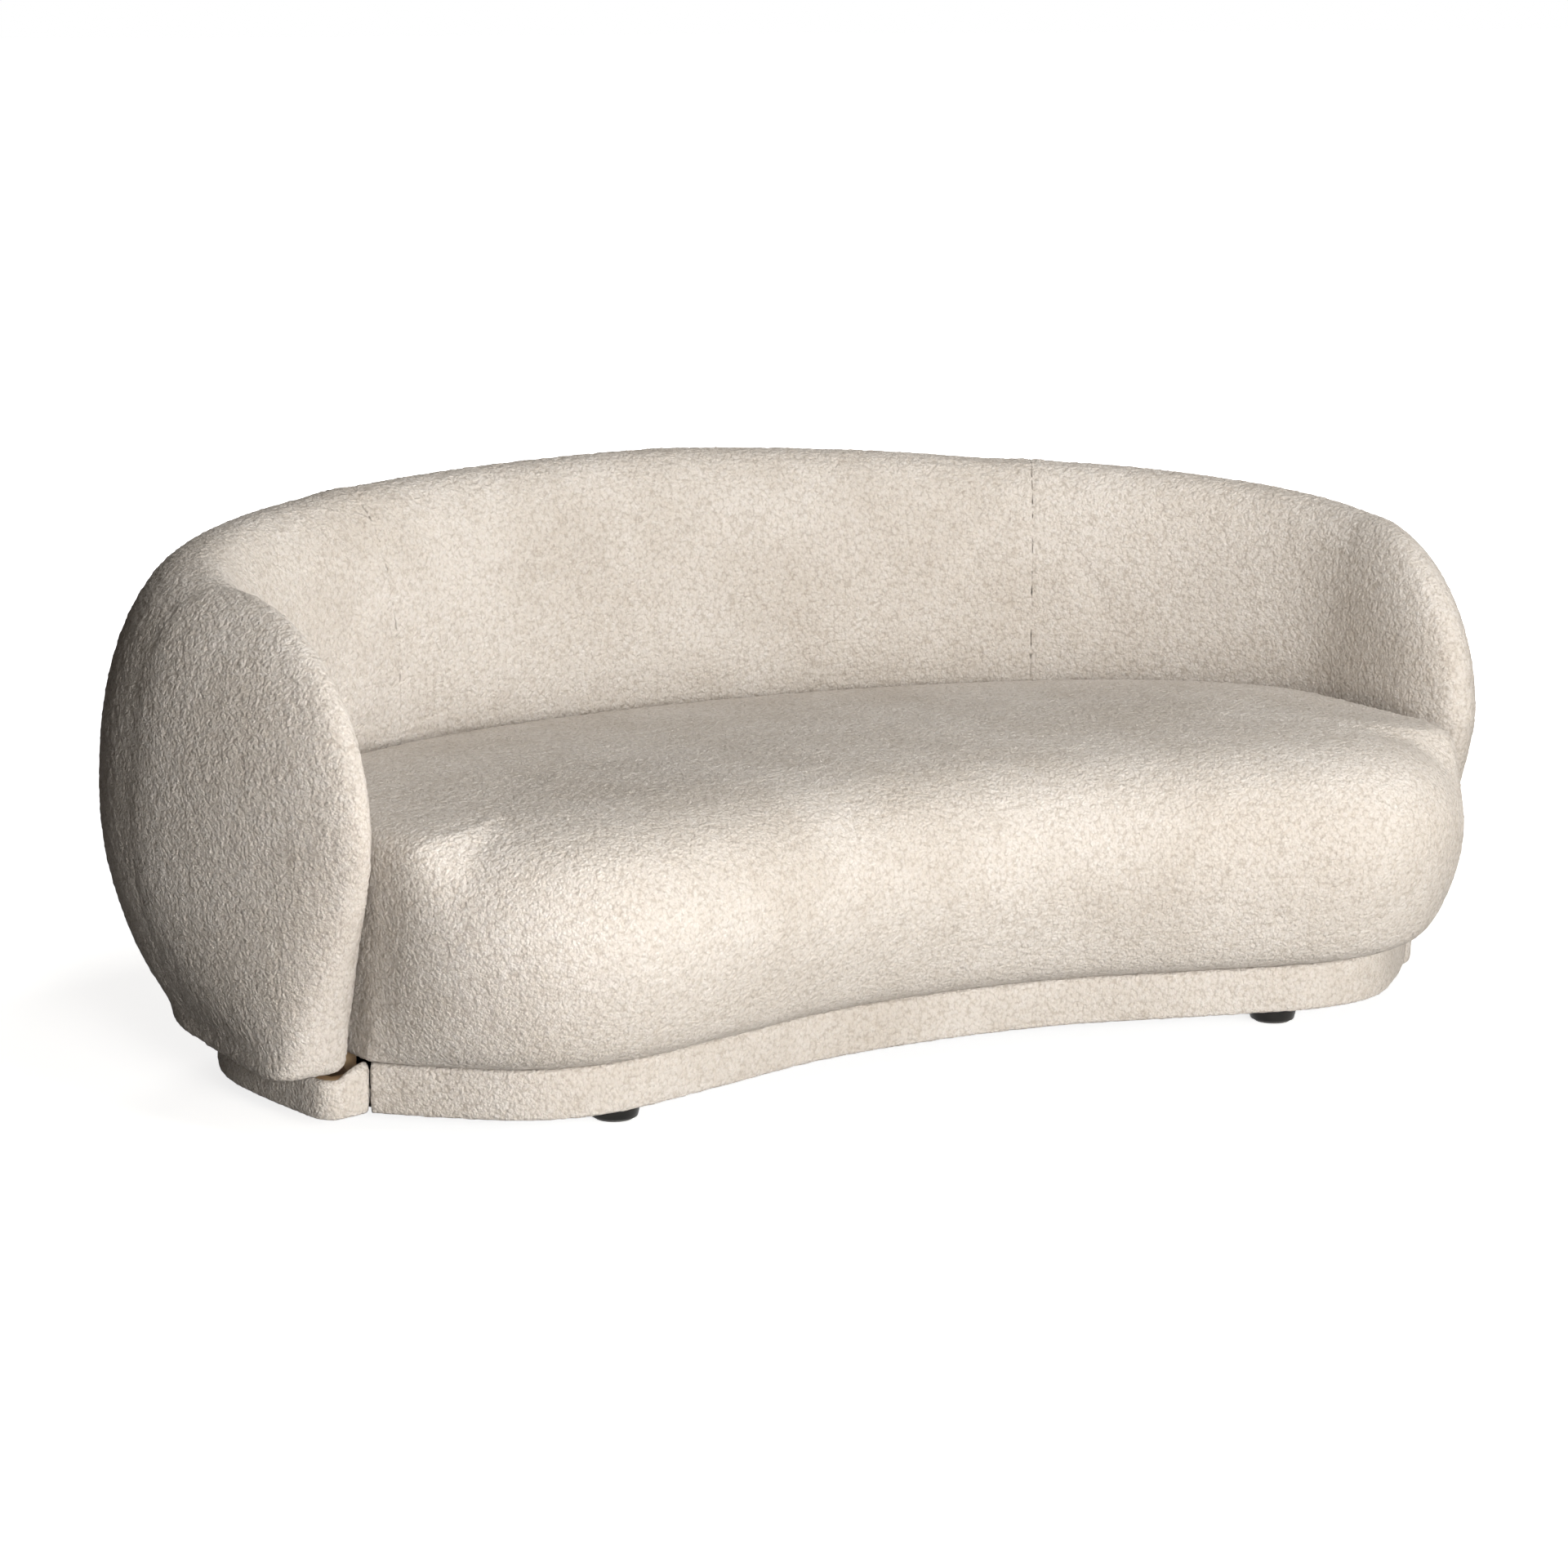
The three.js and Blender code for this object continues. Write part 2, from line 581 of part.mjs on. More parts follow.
// plinth bands
const panelFar = WRAP + 1 + PANEL;
addPart('plinth_band_seat', board(strip(plinthFront, 0, -WRAP), PLINTH_BOTTOM, SEAT_PLINTH_TOP), BOUCLE);
addPart('plinth_band_rear', board(strip(rearPlinth, 0, -WRAP), PLINTH_BOTTOM, PLINTH_TOP), BOUCLE);
const rearPanel = strip(rearPlinth, -WRAP - 1, -panelFar);
addPart('shell_plinth_panel_rear', board(rearPanel, FRAME_BOTTOM, PLINTH_TOP), PLYWOOD);
for (const [name, side] of [['left', -1], ['right', 1]]) {
  addPart(`plinth_band_${name}`, board(shellStrip(side, 50, 0, WRAP), PLINTH_BOTTOM, PLINTH_TOP), BOUCLE);
  const panel = shellStrip(side, 50, WRAP + 1, panelFar);
  addPart(`shell_plinth_panel_${name}`, board(panel, FRAME_BOTTOM, PLINTH_TOP), PLYWOOD);
}

// seat frame
const boardTop = FRAME_BOTTOM + BOARD_THICK;
const holesFor = (spot) => [-1, 1].map((side) => ({ x: side * spot.x, y: spot.y, r: BOLT_HOLE_R }));
const panelLine = plinthFront.filter((p) => Math.abs(p.x) < 846);
const seatFrontPanel = strip(panelLine, -WRAP - 1, -panelFar);
addPart('seat_front_panel', board(seatFrontPanel, FRAME_BOTTOM, SEAT_PANEL_TOP), PLYWOOD);
const boardLine = plinthFront.filter((p) => Math.abs(p.x) < 790);
const frontBoard = strip(boardLine, -panelFar - 1, -panelFar - 96);
addPart('seat_base_board_front', board(frontBoard, FRAME_BOTTOM, boardTop, holesFor(FRONT_FOOT)), PINE);
const seatRearLine = ellipseLine(INNER, 63.5, -63.5, 20);
const seatRearPanel = strip(seatRearLine, -12, -12 - PANEL);
addPart('seat_rear_panel', board(seatRearPanel, FRAME_BOTTOM, SEAT_PANEL_TOP), PLYWOOD);
const rearBoard = strip(ellipseLine(INNER, 58, -58, 18), -13 - PANEL, -103);
addPart('seat_base_board_rear', board(rearBoard, FRAME_BOTTOM, boardTop), PINE);
for (const [name, side] of [['left', -1], ['right', 1]]) {
  const line = [V2(side * 883, 112), ...ellipseLine(INNER, side * 90, side * 64.4, 6)];
  const outline = strip(line, -side * 12, -side * (12 + PANEL));
  addPart(`seat_side_panel_${name}`, board(outline, FRAME_BOTTOM, SEAT_PANEL_TOP), PLYWOOD);
}
const CROSS_RIBS = [['left', -430], ['centre', 0], ['right', 430]];
const CROSS_RIB_TOP = 176;
for (const [name, x] of CROSS_RIBS) {
  const front = x === 0 ? 31 : -38;
  const rear = INNER.centreY + (INNER.b - 34) * Math.sqrt(1 - (Math.abs(x) + 9) ** 2 / (INNER.a - 34) ** 2);
  const outline = [V2(x - 9, front), V2(x + 9, front), V2(x + 9, rear), V2(x - 9, rear)];
  addPart(`seat_cross_rib_${name}`, board(outline, boardTop + GAP, CROSS_RIB_TOP), PINE);
}

// springs and their pad
for (const [i, x] of [-620, -310, 0, 310, 620].entries()) {
  addPart(`seat_spring_${i + 1}`, zigzagSpring(x), STEEL);
}
const padLine = offsetLine(seatRear, -16);
const padFront = offsetLine(plinthFront, -20).filter((p) => Math.abs(p.x) < 846);
addPart('spring_pad', board([...padFront, ...padLine], 218, SEAT_FOAM_BASE - GAP), FELT);

// shell frame
const shellBoardLine = ellipseLine(PLINTH, 58, -58, 20);
const shellBoard = strip(shellBoardLine, -panelFar - 2, -90);
addPart('shell_base_board', board(shellBoard, FRAME_BOTTOM, boardTop, holesFor(REAR_FOOT)), PINE);
addPart('shell_bottom_rail', sweptRail(
  () => BOTTOM_RAIL.low, () => BOTTOM_RAIL.high, BOTTOM_RAIL.near, BOTTOM_RAIL.far, 84, 28), PINE);
addPart('shell_top_rail', sweptRail(
  (s) => s.height - TOP_RAIL.below, (s) => s.height - TOP_RAIL.below + TOP_RAIL.thick,
  TOP_RAIL.near, TOP_RAIL.far, 84, 28), PINE);
for (const [name, phi] of [['1', -70], ['2', -36], ['3', 0], ['4', 36], ['5', 70]]) {
  addPart(`shell_rib_${name}`, shellRib(phi), PLYWOOD);
}
const liningBoard = sweptRail(() => 150, () => BELLY - 4, INNER_FOAM + 1, INNER_FOAM + 5, 84, 28);
addPart('back_lining_board', liningBoard, PLYWOOD);

// feet, glides and hanger bolts
const FEET = [
  ['front_left', -FRONT_FOOT.x, FRONT_FOOT.y], ['front_right', FRONT_FOOT.x, FRONT_FOOT.y],
  ['rear_left', -REAR_FOOT.x, REAR_FOOT.y], ['rear_right', REAR_FOOT.x, REAR_FOOT.y],
];
for (const [name, x, y] of FEET) {
  addPart(`foot_${name}`, foot().translate(x, y, 0), LACQUER);
  addPart(`glide_${name}`, glide().translate(x, y, 0), FELT);
  addPart(`foot_bolt_${name}`, footBolt().translate(x, y, 0), STEEL);
}

// dust cover under both modules, with holes round the feet
const coverFront = offsetLine(plinthFront, -12).filter((p) => Math.abs(p.x) < 830);
const coverRear = offsetLine(ellipseLine(PLINTH, 90, -90, 36), -12);
const footHoles = FEET.map(([, x, y]) => ({ x, y, r: FOOT_R + 2 }));
const coverOutline = [...coverFront, ...coverRear];
addPart('dust_cover', board(coverOutline, PLINTH_BOTTOM + 0.6, FRAME_BOTTOM - GAP, footHoles), LINING);

export default sofa;
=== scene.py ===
import bmesh
import bpy
import numpy as np
from mathutils import Matrix, Vector


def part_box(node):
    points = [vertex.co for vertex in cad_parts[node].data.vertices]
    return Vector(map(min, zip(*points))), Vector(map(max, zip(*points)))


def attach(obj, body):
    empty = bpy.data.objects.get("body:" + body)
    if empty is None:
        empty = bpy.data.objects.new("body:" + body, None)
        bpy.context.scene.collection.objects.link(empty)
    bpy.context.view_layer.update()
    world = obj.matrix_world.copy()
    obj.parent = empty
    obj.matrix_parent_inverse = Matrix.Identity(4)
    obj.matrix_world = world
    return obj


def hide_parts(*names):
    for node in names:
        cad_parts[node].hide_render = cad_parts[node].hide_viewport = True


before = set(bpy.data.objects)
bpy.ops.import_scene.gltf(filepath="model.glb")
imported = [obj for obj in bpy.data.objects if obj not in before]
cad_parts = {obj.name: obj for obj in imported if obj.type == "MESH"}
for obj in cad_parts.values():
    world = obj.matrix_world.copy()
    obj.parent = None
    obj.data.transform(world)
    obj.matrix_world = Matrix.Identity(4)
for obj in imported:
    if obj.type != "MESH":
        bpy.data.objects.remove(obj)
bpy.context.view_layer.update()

# ---------------------------------------------------------------- dimensions
DEPTH_CENTRE = 0.341                 # from the middle of the plinth's front edge back to the frame's origin
INNER = (0.250, 0.885, 0.415)        # ellipse of the shell's inner face: centre y, half width, half depth
OUTER = (0.330, 1.086, 0.580)        # and of its outer face
RIDGE_IN = 0.137                     # from the outer face at the belly to the ridge's middle line
OUTER_TUCK = 0.090                   # how far the outer face draws in below the belly
TUCK_END = 0.112                     # height where the outer face stops drawing in
SHELL_BOTTOM = 0.084
BELLY = 0.400                        # height where the shell is thickest
BACK_HEIGHT = 0.778
LEFT_ARM = (0.700, 1.66, 2.25)       # height of the arm, how late the ridge falls to it, squareness outside
RIGHT_ARM = (0.680, 1.15, 2.0)
INNER_POWER = 2.4                    # of the curve from the inner face over to the ridge
RIDGE_DIP = (0.004, 34.0, 9.0)       # a shallow dip in the ridge: depth, where, reach in degrees

# The arms' rounded fronts, left (-1) and right (1). In plan a nose is two curves that meet at its tip.
# reach: how far it comes forward, and retreat: how much less at the bottom
# tip: the tip's place across the arm, from 0 at the inner face to 1 at the outer face
# full, lead: how far the inner curve runs forward, and the outer curve sideways, before they bend
# square, flare, straight: the shape of the outer curve's far end
# A name with _low is what the bottom adds to that value.
NOSES = {
    -1: dict(reach=0.310, retreat=0.090, tip=0.20, tip_low=0.65, full=0.72, full_low=0.28,
             lead=0.050, lead_low=-0.008, square=0.34, square_low=0.42, flare=0.012, flare_low=-0.002,
             straight=0.040),
    1: dict(reach=0.248, retreat=0.104, tip=0.25, tip_low=0.16, full=0.60, full_low=0.20,
            lead=0.062, lead_low=-0.020, square=0.30, square_low=-0.10, flare=0.0, flare_low=-0.040,
            straight=0.015),
}
NOSE_POWER = 2.0                     # of the curve by which the nose draws back to the ridge
NOSE_WIDTH = 0.201                   # of an arm at its belly
NOSE_INNER_PULL = 0.100              # how far the tip's inner side runs straight across
RETREAT_POWER = 1.2
STRAIGHT_LOSS = 0.8                  # share of the straight end that is gone at the bottom
SEAM_PHI = 38.0                      # degrees from the middle of the back to the cover's upright seams
SEAM_DEPTH = 0.001                   # of the groove at those seams
SEAM_HALF = 0.009                    # half width of the groove
SHELL_EDGE = 0.016                   # radius of the cover's lower edge

SEAT_CLEAR = 0.003                   # gap between the seat's cover and the shell's inner face
SEAT_HALF = 0.880                    # half width of the seat's front
SEAT_END_REACH = 0.060               # along x at each end, where the front's swell turns into the side's
# Plan lines of the seat's right half, x and y: its front at the fullest, and the lip at its lower edge.
SEAT_BELLY = [(0, -.113), (.192, -.129), (.388, -.179), (.599, -.228),
              (.715, -.211), (.812, -.151), (.864, -.078), (.880, 0)]
SEAT_LIP = [(0, -.014), (.200, -.030), (.400, -.085), (.603, -.132),
            (.714, -.112), (.816, -.034), (.880, .030)]
# Upright profiles: the share of the lip (1) over the belly (0), or the inset, and the height.
SEAT_TUCK = [(1, .098), (.86, .103), (.70, .111), (.44, .138), (.18, .188), (.04, .235), (0, .270)]
SEAT_FRONT_SWELL = [(0, .098), (0, .160), (0, .220), (0, .270), (.005, .310),
                    (.026, .352), (.050, .378), (.082, .396), (.120, .408), (.190, .417)]
SEAT_SIDE_SWELL = [(0, .098), (0, .160), (0, .240), (0, .300), (0, .352),
                   (.001, .385), (.007, .398), (.026, .410), (.060, .415), (.110, .417)]
SEAT_CROWN_RISE = 0.006              # of the seat's top at its middle line

# Plan lines of the plinth: the right half of its front, and the front corner of each arm's part, both drawn
# on the right side.
PLINTH_FRONT = [(0, 0), (.200, -.015), (.400, -.070), (.600, -.117),
                (.705, -.097), (.805, -.021), (.868, .040)]
LEFT_CORNER = [(.871, .042), (.900, .032), (.921, .030), (.938, .039),
               (.946, .058), (.951, .098), (.956, .150), (.959, .205)]
RIGHT_CORNER = [(.871, .042), (.889, .052), (.905, .073), (.921, .105), (.937, .150), (.951, .203)]
PLINTH = (0.250, 0.960, 0.510)       # ellipse of the rest of the plinth
PLINTH_SPLIT = 49.2                  # degrees from the middle of the back to the rear plinth cover's ends
SIDE_PLINTH_END = 50                 # and to the rear ends of the two side covers
PLINTH_BOTTOM = 0.026
PLINTH_TOP = 0.079                   # of the shell's part
SEAT_PLINTH_TOP = 0.095
SEAM_LIFT = 0.017                    # rise of the shell's plinth cover where it meets the seat's
SEAM_LIFT_REACH = 0.045
WRAP = 0.008                         # thickness of a plinth cover
BAND_EDGE = 0.006                    # radius of its edges
BAND_SWELL = 0.002
BAND_SPACING = 0.006

COARSE = 0.016                       # mesh spacing before subdivision
SUBDIVISIONS = 2
NUB = 0.0008                         # height of the yarn loops that stand out of the cloth
LOOP = 0.0068                        # spacing of the yarn loops

LOWER_ROWS = 17                      # rows of the shell's cover below and above the belly
UPPER_ROWS = 25
END_COUNT = 14                       # points across the shell's thickness at a seam
NOSE_COUNT = 46                      # points round the arm's front
NOSE_HALF = 0.10                     # half the arm's width, for the inset of its lower edge
RIDGE_LIFT = 0.0005                  # of the fold where the cover closes along the ridge
CORNER = 0.0015                      # how close the first points sit to a seam
SEAM_THICKNESS = 0.24                # of the shell at a seam, roughly
SEAT_COLUMNS = 128
SIDE_COUNT = 17                      # points on each short side of the seat
SPINE_HALF = 0.56                    # the seat's middle line, from the middle to one end
SPINE_Y = 0.275                      # of its middle
SPINE_BOW = 0.090                    # how far its ends come forward

# Where a cover may swell, in the frame's own coordinates. Each FREE pair is a soft step from none to all.
FREE_ABOVE = (0.11, 0.18)
FREE_ABOVE_SEAT = (0.40, 0.47)
FREE_FROM_SEAM = (0.004, 0.06)
SEAT_CENTRE_Y = -0.091
BESIDE_SEAT = (-0.40, 0.90, 0.43)    # foremost y and half sizes of the part of the shell beside the seat
BESIDE_MARGIN = 1.02                 # on those half sizes
SEAT_REAR = (0.882, 0.412)           # half sizes of the seat's rear edge
FREE_FROM_REAR = (0.02, 0.12)        # as a share of those

SIM_FRAMES = 20
SHELL_PUFF = 0.0024                  # furthest that padding may swell a cover
SEAT_PUFF = 0.0028
LINING_SAG = 0.0025                  # of the base lining at its middle
LINING_STEP = 0.045                  # its grid
FLOOR_HALF = 40                      # half the floor's side
FLOOR_GLOW = 0.78                    # of the floor by the sofa; it rises to 1 further out, like the backdrop
GLOW_RISE = (0.15, 0.45)             # where that rise starts and ends, in tens of metres from the sofa
AMBIENT = 0.035
WARM_AMBIENT = (1.0, 0.80, 0.62, 1)
DAYLIGHT = (1.0, 0.985, 0.955)       # colours of most lights
PALE_LIGHT = (1.0, 0.985, 0.96)


# ---------------------------------------------------------------- camera
YAW = 0.5661                         # the three turns are in radians
PITCH = 0.2306
ROLL = 0.0133
FOCAL = 2.9013                       # focal length over frame width
CAMERA_AT = Vector((-3.4548, -5.4846, 1.5929))
SENSOR = 36.0
SHIFT = (-0.0283, 0.1130)            # of the lens, as shares of the frame


def make_camera():
    data = bpy.data.cameras.new("camera")
    camera = bpy.data.objects.new("camera", data)
    bpy.context.scene.collection.objects.link(camera)
    forward = Vector((np.sin(YAW) * np.cos(PITCH), np.cos(YAW) * np.cos(PITCH), -np.sin(PITCH)))
    level = Vector((np.cos(YAW), -np.sin(YAW), 0))
    upright = level.cross(forward)
    right = level * np.cos(ROLL) + upright * np.sin(ROLL)
    up = right.cross(forward)
    axes = Matrix((right, up, -forward)).transposed().to_4x4()
    camera.matrix_world = Matrix.Translation(CAMERA_AT) @ axes
    data.sensor_width = SENSOR
    data.lens = FOCAL * SENSOR
    data.shift_x, data.shift_y = SHIFT
    data.clip_end = 200
    bpy.context.scene.camera = camera


make_camera()


# ---------------------------------------------------------------- curves
def ellipse_point(ellipse, phi):
    centre_y, a, b = ellipse
    r = np.radians(phi)
    return np.stack([a * np.sin(r), centre_y + b * np.cos(r)], -1)


def ridge_height(phi):
    phi = np.asarray(phi, float)
    left = (BACK_HEIGHT - LEFT_ARM[0]) * (np.abs(phi) / 90) ** LEFT_ARM[1]
    right = (BACK_HEIGHT - RIGHT_ARM[0]) * (np.abs(phi) / 90) ** RIGHT_ARM[1]
    depth, at, reach = RIDGE_DIP
    return BACK_HEIGHT - np.where(phi < 0, left, right) - depth * np.exp(-((phi - at) / reach) ** 2)


def outer_power(phi):
    """The power of the curve from the outer face over to the ridge: 2 is an ellipse, and more is squarer."""
    square = np.where(np.asarray(phi) < 0, LEFT_ARM[2], RIGHT_ARM[2])
    return 2 + (square - 2) * (np.asarray(phi) / 90) ** 2


def round_in(u, power):
    u = np.clip(u, 0, 1)
    return 1 - (1 - u ** power) ** (1 / power)


def section(phi):
    """The shell's cross-section at phi: its inner point, the direction outwards, and its thickness."""
    inner = ellipse_point(INNER, phi)
    outer = ellipse_point(OUTER, phi)
    thick = np.linalg.norm(outer - inner, axis=-1)
    return inner, (outer - inner) / thick[..., None], thick


def inner_offset(thick, height, z):
    return (thick - RIDGE_IN) * round_in((z - BELLY) / (height - BELLY), INNER_POWER)


def outer_offset(thick, height, power, z):
    tuck = OUTER_TUCK * np.clip((BELLY - z) / (BELLY - TUCK_END), 0, 1) ** 2
    return thick - tuck - RIDGE_IN * round_in((z - BELLY) / (height - BELLY), power)


def bezier(p0, p1, p2, p3, count):
    t = np.linspace(0, 1, count)[:, None]
    return (1 - t) ** 3 * p0 + 3 * (1 - t) ** 2 * t * p1 + 3 * (1 - t) * t ** 2 * p2 + t ** 3 * p3


def mix(a, b, t):
    return a + (b - a) * t


def nose_curve(z, side, inside_count, outside_count):
    """An arm's rounded front in plan at height z, drawn on the right, from the inner to the outer face."""
    nose = NOSES[side]
    arm_height = float(ridge_height(side * 90))
    inner, along, thick = section(np.array(90.0))
    start = inner + along * inner_offset(thick, arm_height, z)
    end = inner + along * outer_offset(thick, arm_height, outer_power(side * 90), z)
    climb = np.clip((z - BELLY) / (arm_height - BELLY), 0, 1)
    low = max(BELLY - z, 0) / (BELLY - SHELL_BOTTOM)
    reach = nose["reach"] * (1 - climb ** NOSE_POWER) ** (1 / NOSE_POWER)
    reach -= nose["retreat"] * low ** RETREAT_POWER
    y = start[1] - reach
    width = end[0] - start[0]
    fade = 1 if z < BELLY else width / NOSE_WIDTH
    x = start[0] + width * (nose["tip"] + nose["tip_low"] * low ** 2)
    tip = np.array([x, y])
    square = nose["square"] + nose["square_low"] * low ** 2
    full = nose["full"] + nose["full_low"] * low ** 2
    inside = bezier(start, np.array([start[0], mix(start[1], y, full)]),
                    np.array([max(x - NOSE_INNER_PULL * fade, start[0]), y]), tip, inside_count)
    lead = (nose["lead"] + nose["lead_low"] * low) * fade
    flare = nose["flare"] * fade + nose["flare_low"] * low ** 2
    corner = end - np.array([0, nose["straight"] * fade * (1 - STRAIGHT_LOSS * low)])
    outside = bezier(tip, np.array([x + lead, y]),
                     np.array([end[0] + flare, mix(end[1], y, square)]), corner, outside_count)
    outside = even(np.concatenate([outside, [end]]), count=outside_count)
    return np.concatenate([inside, outside[1:]])


def even(points, spacing=None, count=None):
    """The same open line with points evenly spaced along it."""
    points = np.asarray(points, float)
    step = np.linalg.norm(np.diff(points, axis=0), axis=1)
    along = np.concatenate([[0], np.cumsum(step)])
    if count is None:
        count = max(int(round(along[-1] / spacing)) + 1, 2)
    at = np.linspace(0, along[-1], count)
    return np.stack([np.interp(at, along, points[:, k]) for k in range(points.shape[1])], -1)


def spline(points, per_span=24):
    """A centripetal Catmull-Rom line through the points."""
    p = np.asarray(points, float)
    p = np.concatenate([[2 * p[0] - p[1]], p, [2 * p[-1] - p[-2]]])
    out = []
    for i in range(1, len(p) - 2):
        a, b, c, d = p[i - 1:i + 3]
        t0 = 0.0
        t1 = t0 + np.linalg.norm(b - a) ** 0.5 + 1e-9
        t2 = t1 + np.linalg.norm(c - b) ** 0.5 + 1e-9
        t3 = t2 + np.linalg.norm(d - c) ** 0.5 + 1e-9
        t = np.linspace(t1, t2, per_span, endpoint=False)[:, None]
        ab = (t1 - t) / (t1 - t0) * a + (t - t0) / (t1 - t0) * b
        bc = (t2 - t) / (t2 - t1) * b + (t - t1) / (t2 - t1) * c
        cd = (t3 - t) / (t3 - t2) * c + (t - t2) / (t3 - t2) * d
        abc = (t2 - t) / (t2 - t0) * ab + (t - t0) / (t2 - t0) * bc
        bcd = (t3 - t) / (t3 - t1) * bc + (t - t1) / (t3 - t1) * cd
        out.append((t2 - t) / (t2 - t1) * abc + (t - t1) / (t2 - t1) * bcd)
    out.append(p[-2][None])
    return np.concatenate(out)


def mirrored(half):
    left = [(-x, y) for x, y in half[:0:-1]]
    return left + list(half)


def outward(line):
    """Unit directions to the right of an open plan line."""
    d = np.gradient(line, axis=0)
    d /= np.linalg.norm(d, axis=1)[:, None]
    return np.stack([d[:, 1], -d[:, 0]], -1)


# ---------------------------------------------------------------- meshes
def closed_mesh(name, loops, merge=2e-4):
    """A closed body from equally long loops, stacked. The first and last loop lie folded on themselves."""
    loops = np.asarray(loops, float)
    rows, n, _ = loops.shape
    vertices = loops.reshape(-1, 3).copy()
    vertices[:, 1] -= DEPTH_CENTRE
    i = np.arange(n)
    j = (i + 1) % n
    faces = []
    for r in range(rows - 1):
        low, high = r * n, (r + 1) * n
        faces += np.stack([low + i, low + j, high + j, high + i], -1).tolist()
    mesh = bpy.data.meshes.new(name)
    mesh.from_pydata(vertices.tolist(), [], faces)
    bm = bmesh.new()
    bm.from_mesh(mesh)
    bmesh.ops.remove_doubles(bm, verts=bm.verts, dist=merge)
    bmesh.ops.dissolve_degenerate(bm, edges=bm.edges, dist=1e-6)
    bmesh.ops.recalc_face_normals(bm, faces=bm.faces)
    bm.to_mesh(mesh)
    bm.free()
    obj = bpy.data.objects.new(name, mesh)
    bpy.context.scene.collection.objects.link(obj)
    return obj


def coords(obj):
    co = np.empty(len(obj.data.vertices) * 3, np.float32)
    obj.data.vertices.foreach_get("co", co)
    return co.reshape(-1, 3).astype(float)


def set_coords(obj, co):
    obj.data.vertices.foreach_set("co", co.astype(np.float32).ravel())
    obj.data.update()


def normals(obj):
    n = np.empty(len(obj.data.vertices) * 3, np.float32)
    obj.data.vertex_normals.foreach_get("vector", n)
    return n.reshape(-1, 3).astype(float)


def apply_modifiers(obj):
    graph = bpy.context.evaluated_depsgraph_get()
    made = bpy.data.meshes.new_from_object(obj.evaluated_get(graph))
    obj.modifiers.clear()
    obj.data = made


def subdivide(obj, levels):
    modifier = obj.modifiers.new("fine", "SUBSURF")
    modifier.levels = levels
    modifier.render_levels = levels
    apply_modifiers(obj)


# ---------------------------------------------------------------- shell cover
def shell_rows():
    """Heights and insets of a shell cover's rows, from its rounded lower edge to the ridge."""
    rows = [dict(z=SHELL_BOTTOM, inset=SHELL_EDGE)]
    for a in np.radians([35, 65]):
        rows.append(dict(z=SHELL_BOTTOM + SHELL_EDGE * (1 - np.cos(a)), inset=SHELL_EDGE * (1 - np.sin(a))))
    rows += [dict(z=z) for z in np.linspace(SHELL_BOTTOM + SHELL_EDGE, BELLY, LOWER_ROWS)]
    rows += [dict(theta=t) for t in np.radians(np.append(np.linspace(3.5, 84, UPPER_ROWS), 88))]
    return rows


def shell_loop(phis, side, z=None, theta=None, inset=0.0):
    """One loop of a shell piece: along the inner face, round the arm or across the seam, and back outside."""
    inner, along, thick = section(phis)
    true_phis = phis * (side or 1)
    height = ridge_height(true_phis)
    z = np.full(len(phis), z) if theta is None else BELLY + (height - BELLY) * np.sin(theta)
    near = inner_offset(thick, height, z) + inset
    far = outer_offset(thick, height, outer_power(true_phis), z) - inset
    inside = np.column_stack([inner + along * near[:, None], z])
    outside = np.column_stack([inner + along * far[:, None], z])[::-1]
    across = np.linspace(0, 1, END_COUNT)[1:-1, None]
    across[0], across[-1] = CORNER / SEAM_THICKNESS, 1 - CORNER / SEAM_THICKNESS
    if side:
        front = even(nose_curve(z[-1], side, 80, 80), count=NOSE_COUNT)[1:-1]
        front = front + (front.mean(0) - front) * inset / NOSE_HALF
        end = np.column_stack([front, np.full(len(front), z[-1])])
    else:
        end = mix(inside[-1], outside[0], across)
    return np.concatenate([inside, end, outside, mix(outside[-1], inside[0], across)])


def folded(loop, count, end):
    """The line between a loop's two long sides, in the loop's own order, so that the loop can close on it."""
    inside = loop[:count]
    outside = loop[count + end:2 * count + end][::-1]
    middle = (inside + outside) / 2
    start = len(loop) - 2 * count - end
    at_start = np.repeat(middle[:1], start, 0)
    at_end = np.repeat(middle[-1:], end, 0)
    return np.concatenate([middle, at_end, middle[::-1], at_start])


def shell_piece(name, start, stop, side):
    """start and stop are in degrees. side is 0 for the middle of the back and -1 or 1 for an arm."""
    fine = np.linspace(start, stop, 400)
    length = np.linalg.norm(np.diff(ellipse_point(OUTER, fine), axis=0), axis=1)
    along = np.concatenate([[0], np.cumsum(length)])
    count = int(along[-1] / COARSE) + 1
    spots = np.linspace(0, along[-1], count)
    spots = np.insert(spots, 1, CORNER)
    if not side:
        spots = np.insert(spots, -1, along[-1] - CORNER)
    phis = np.interp(spots, along, fine)
    end = (NOSE_COUNT if side else END_COUNT) - 2
    loops = [shell_loop(phis, side, **row) for row in shell_rows()]
    base = folded(loops[0], count, end)
    ridge = folded(loops[-1], count, end) + [0, 0, RIDGE_LIFT]
    bottom = [mix(base, loops[0], t) for t in (0, 0.2, 0.45, 0.75)]
    loops = np.array(bottom + loops + [mix(loops[-1], ridge, 0.5), ridge])
    if side < 0:
        loops[..., 0] *= -1
    return closed_mesh(name, loops)


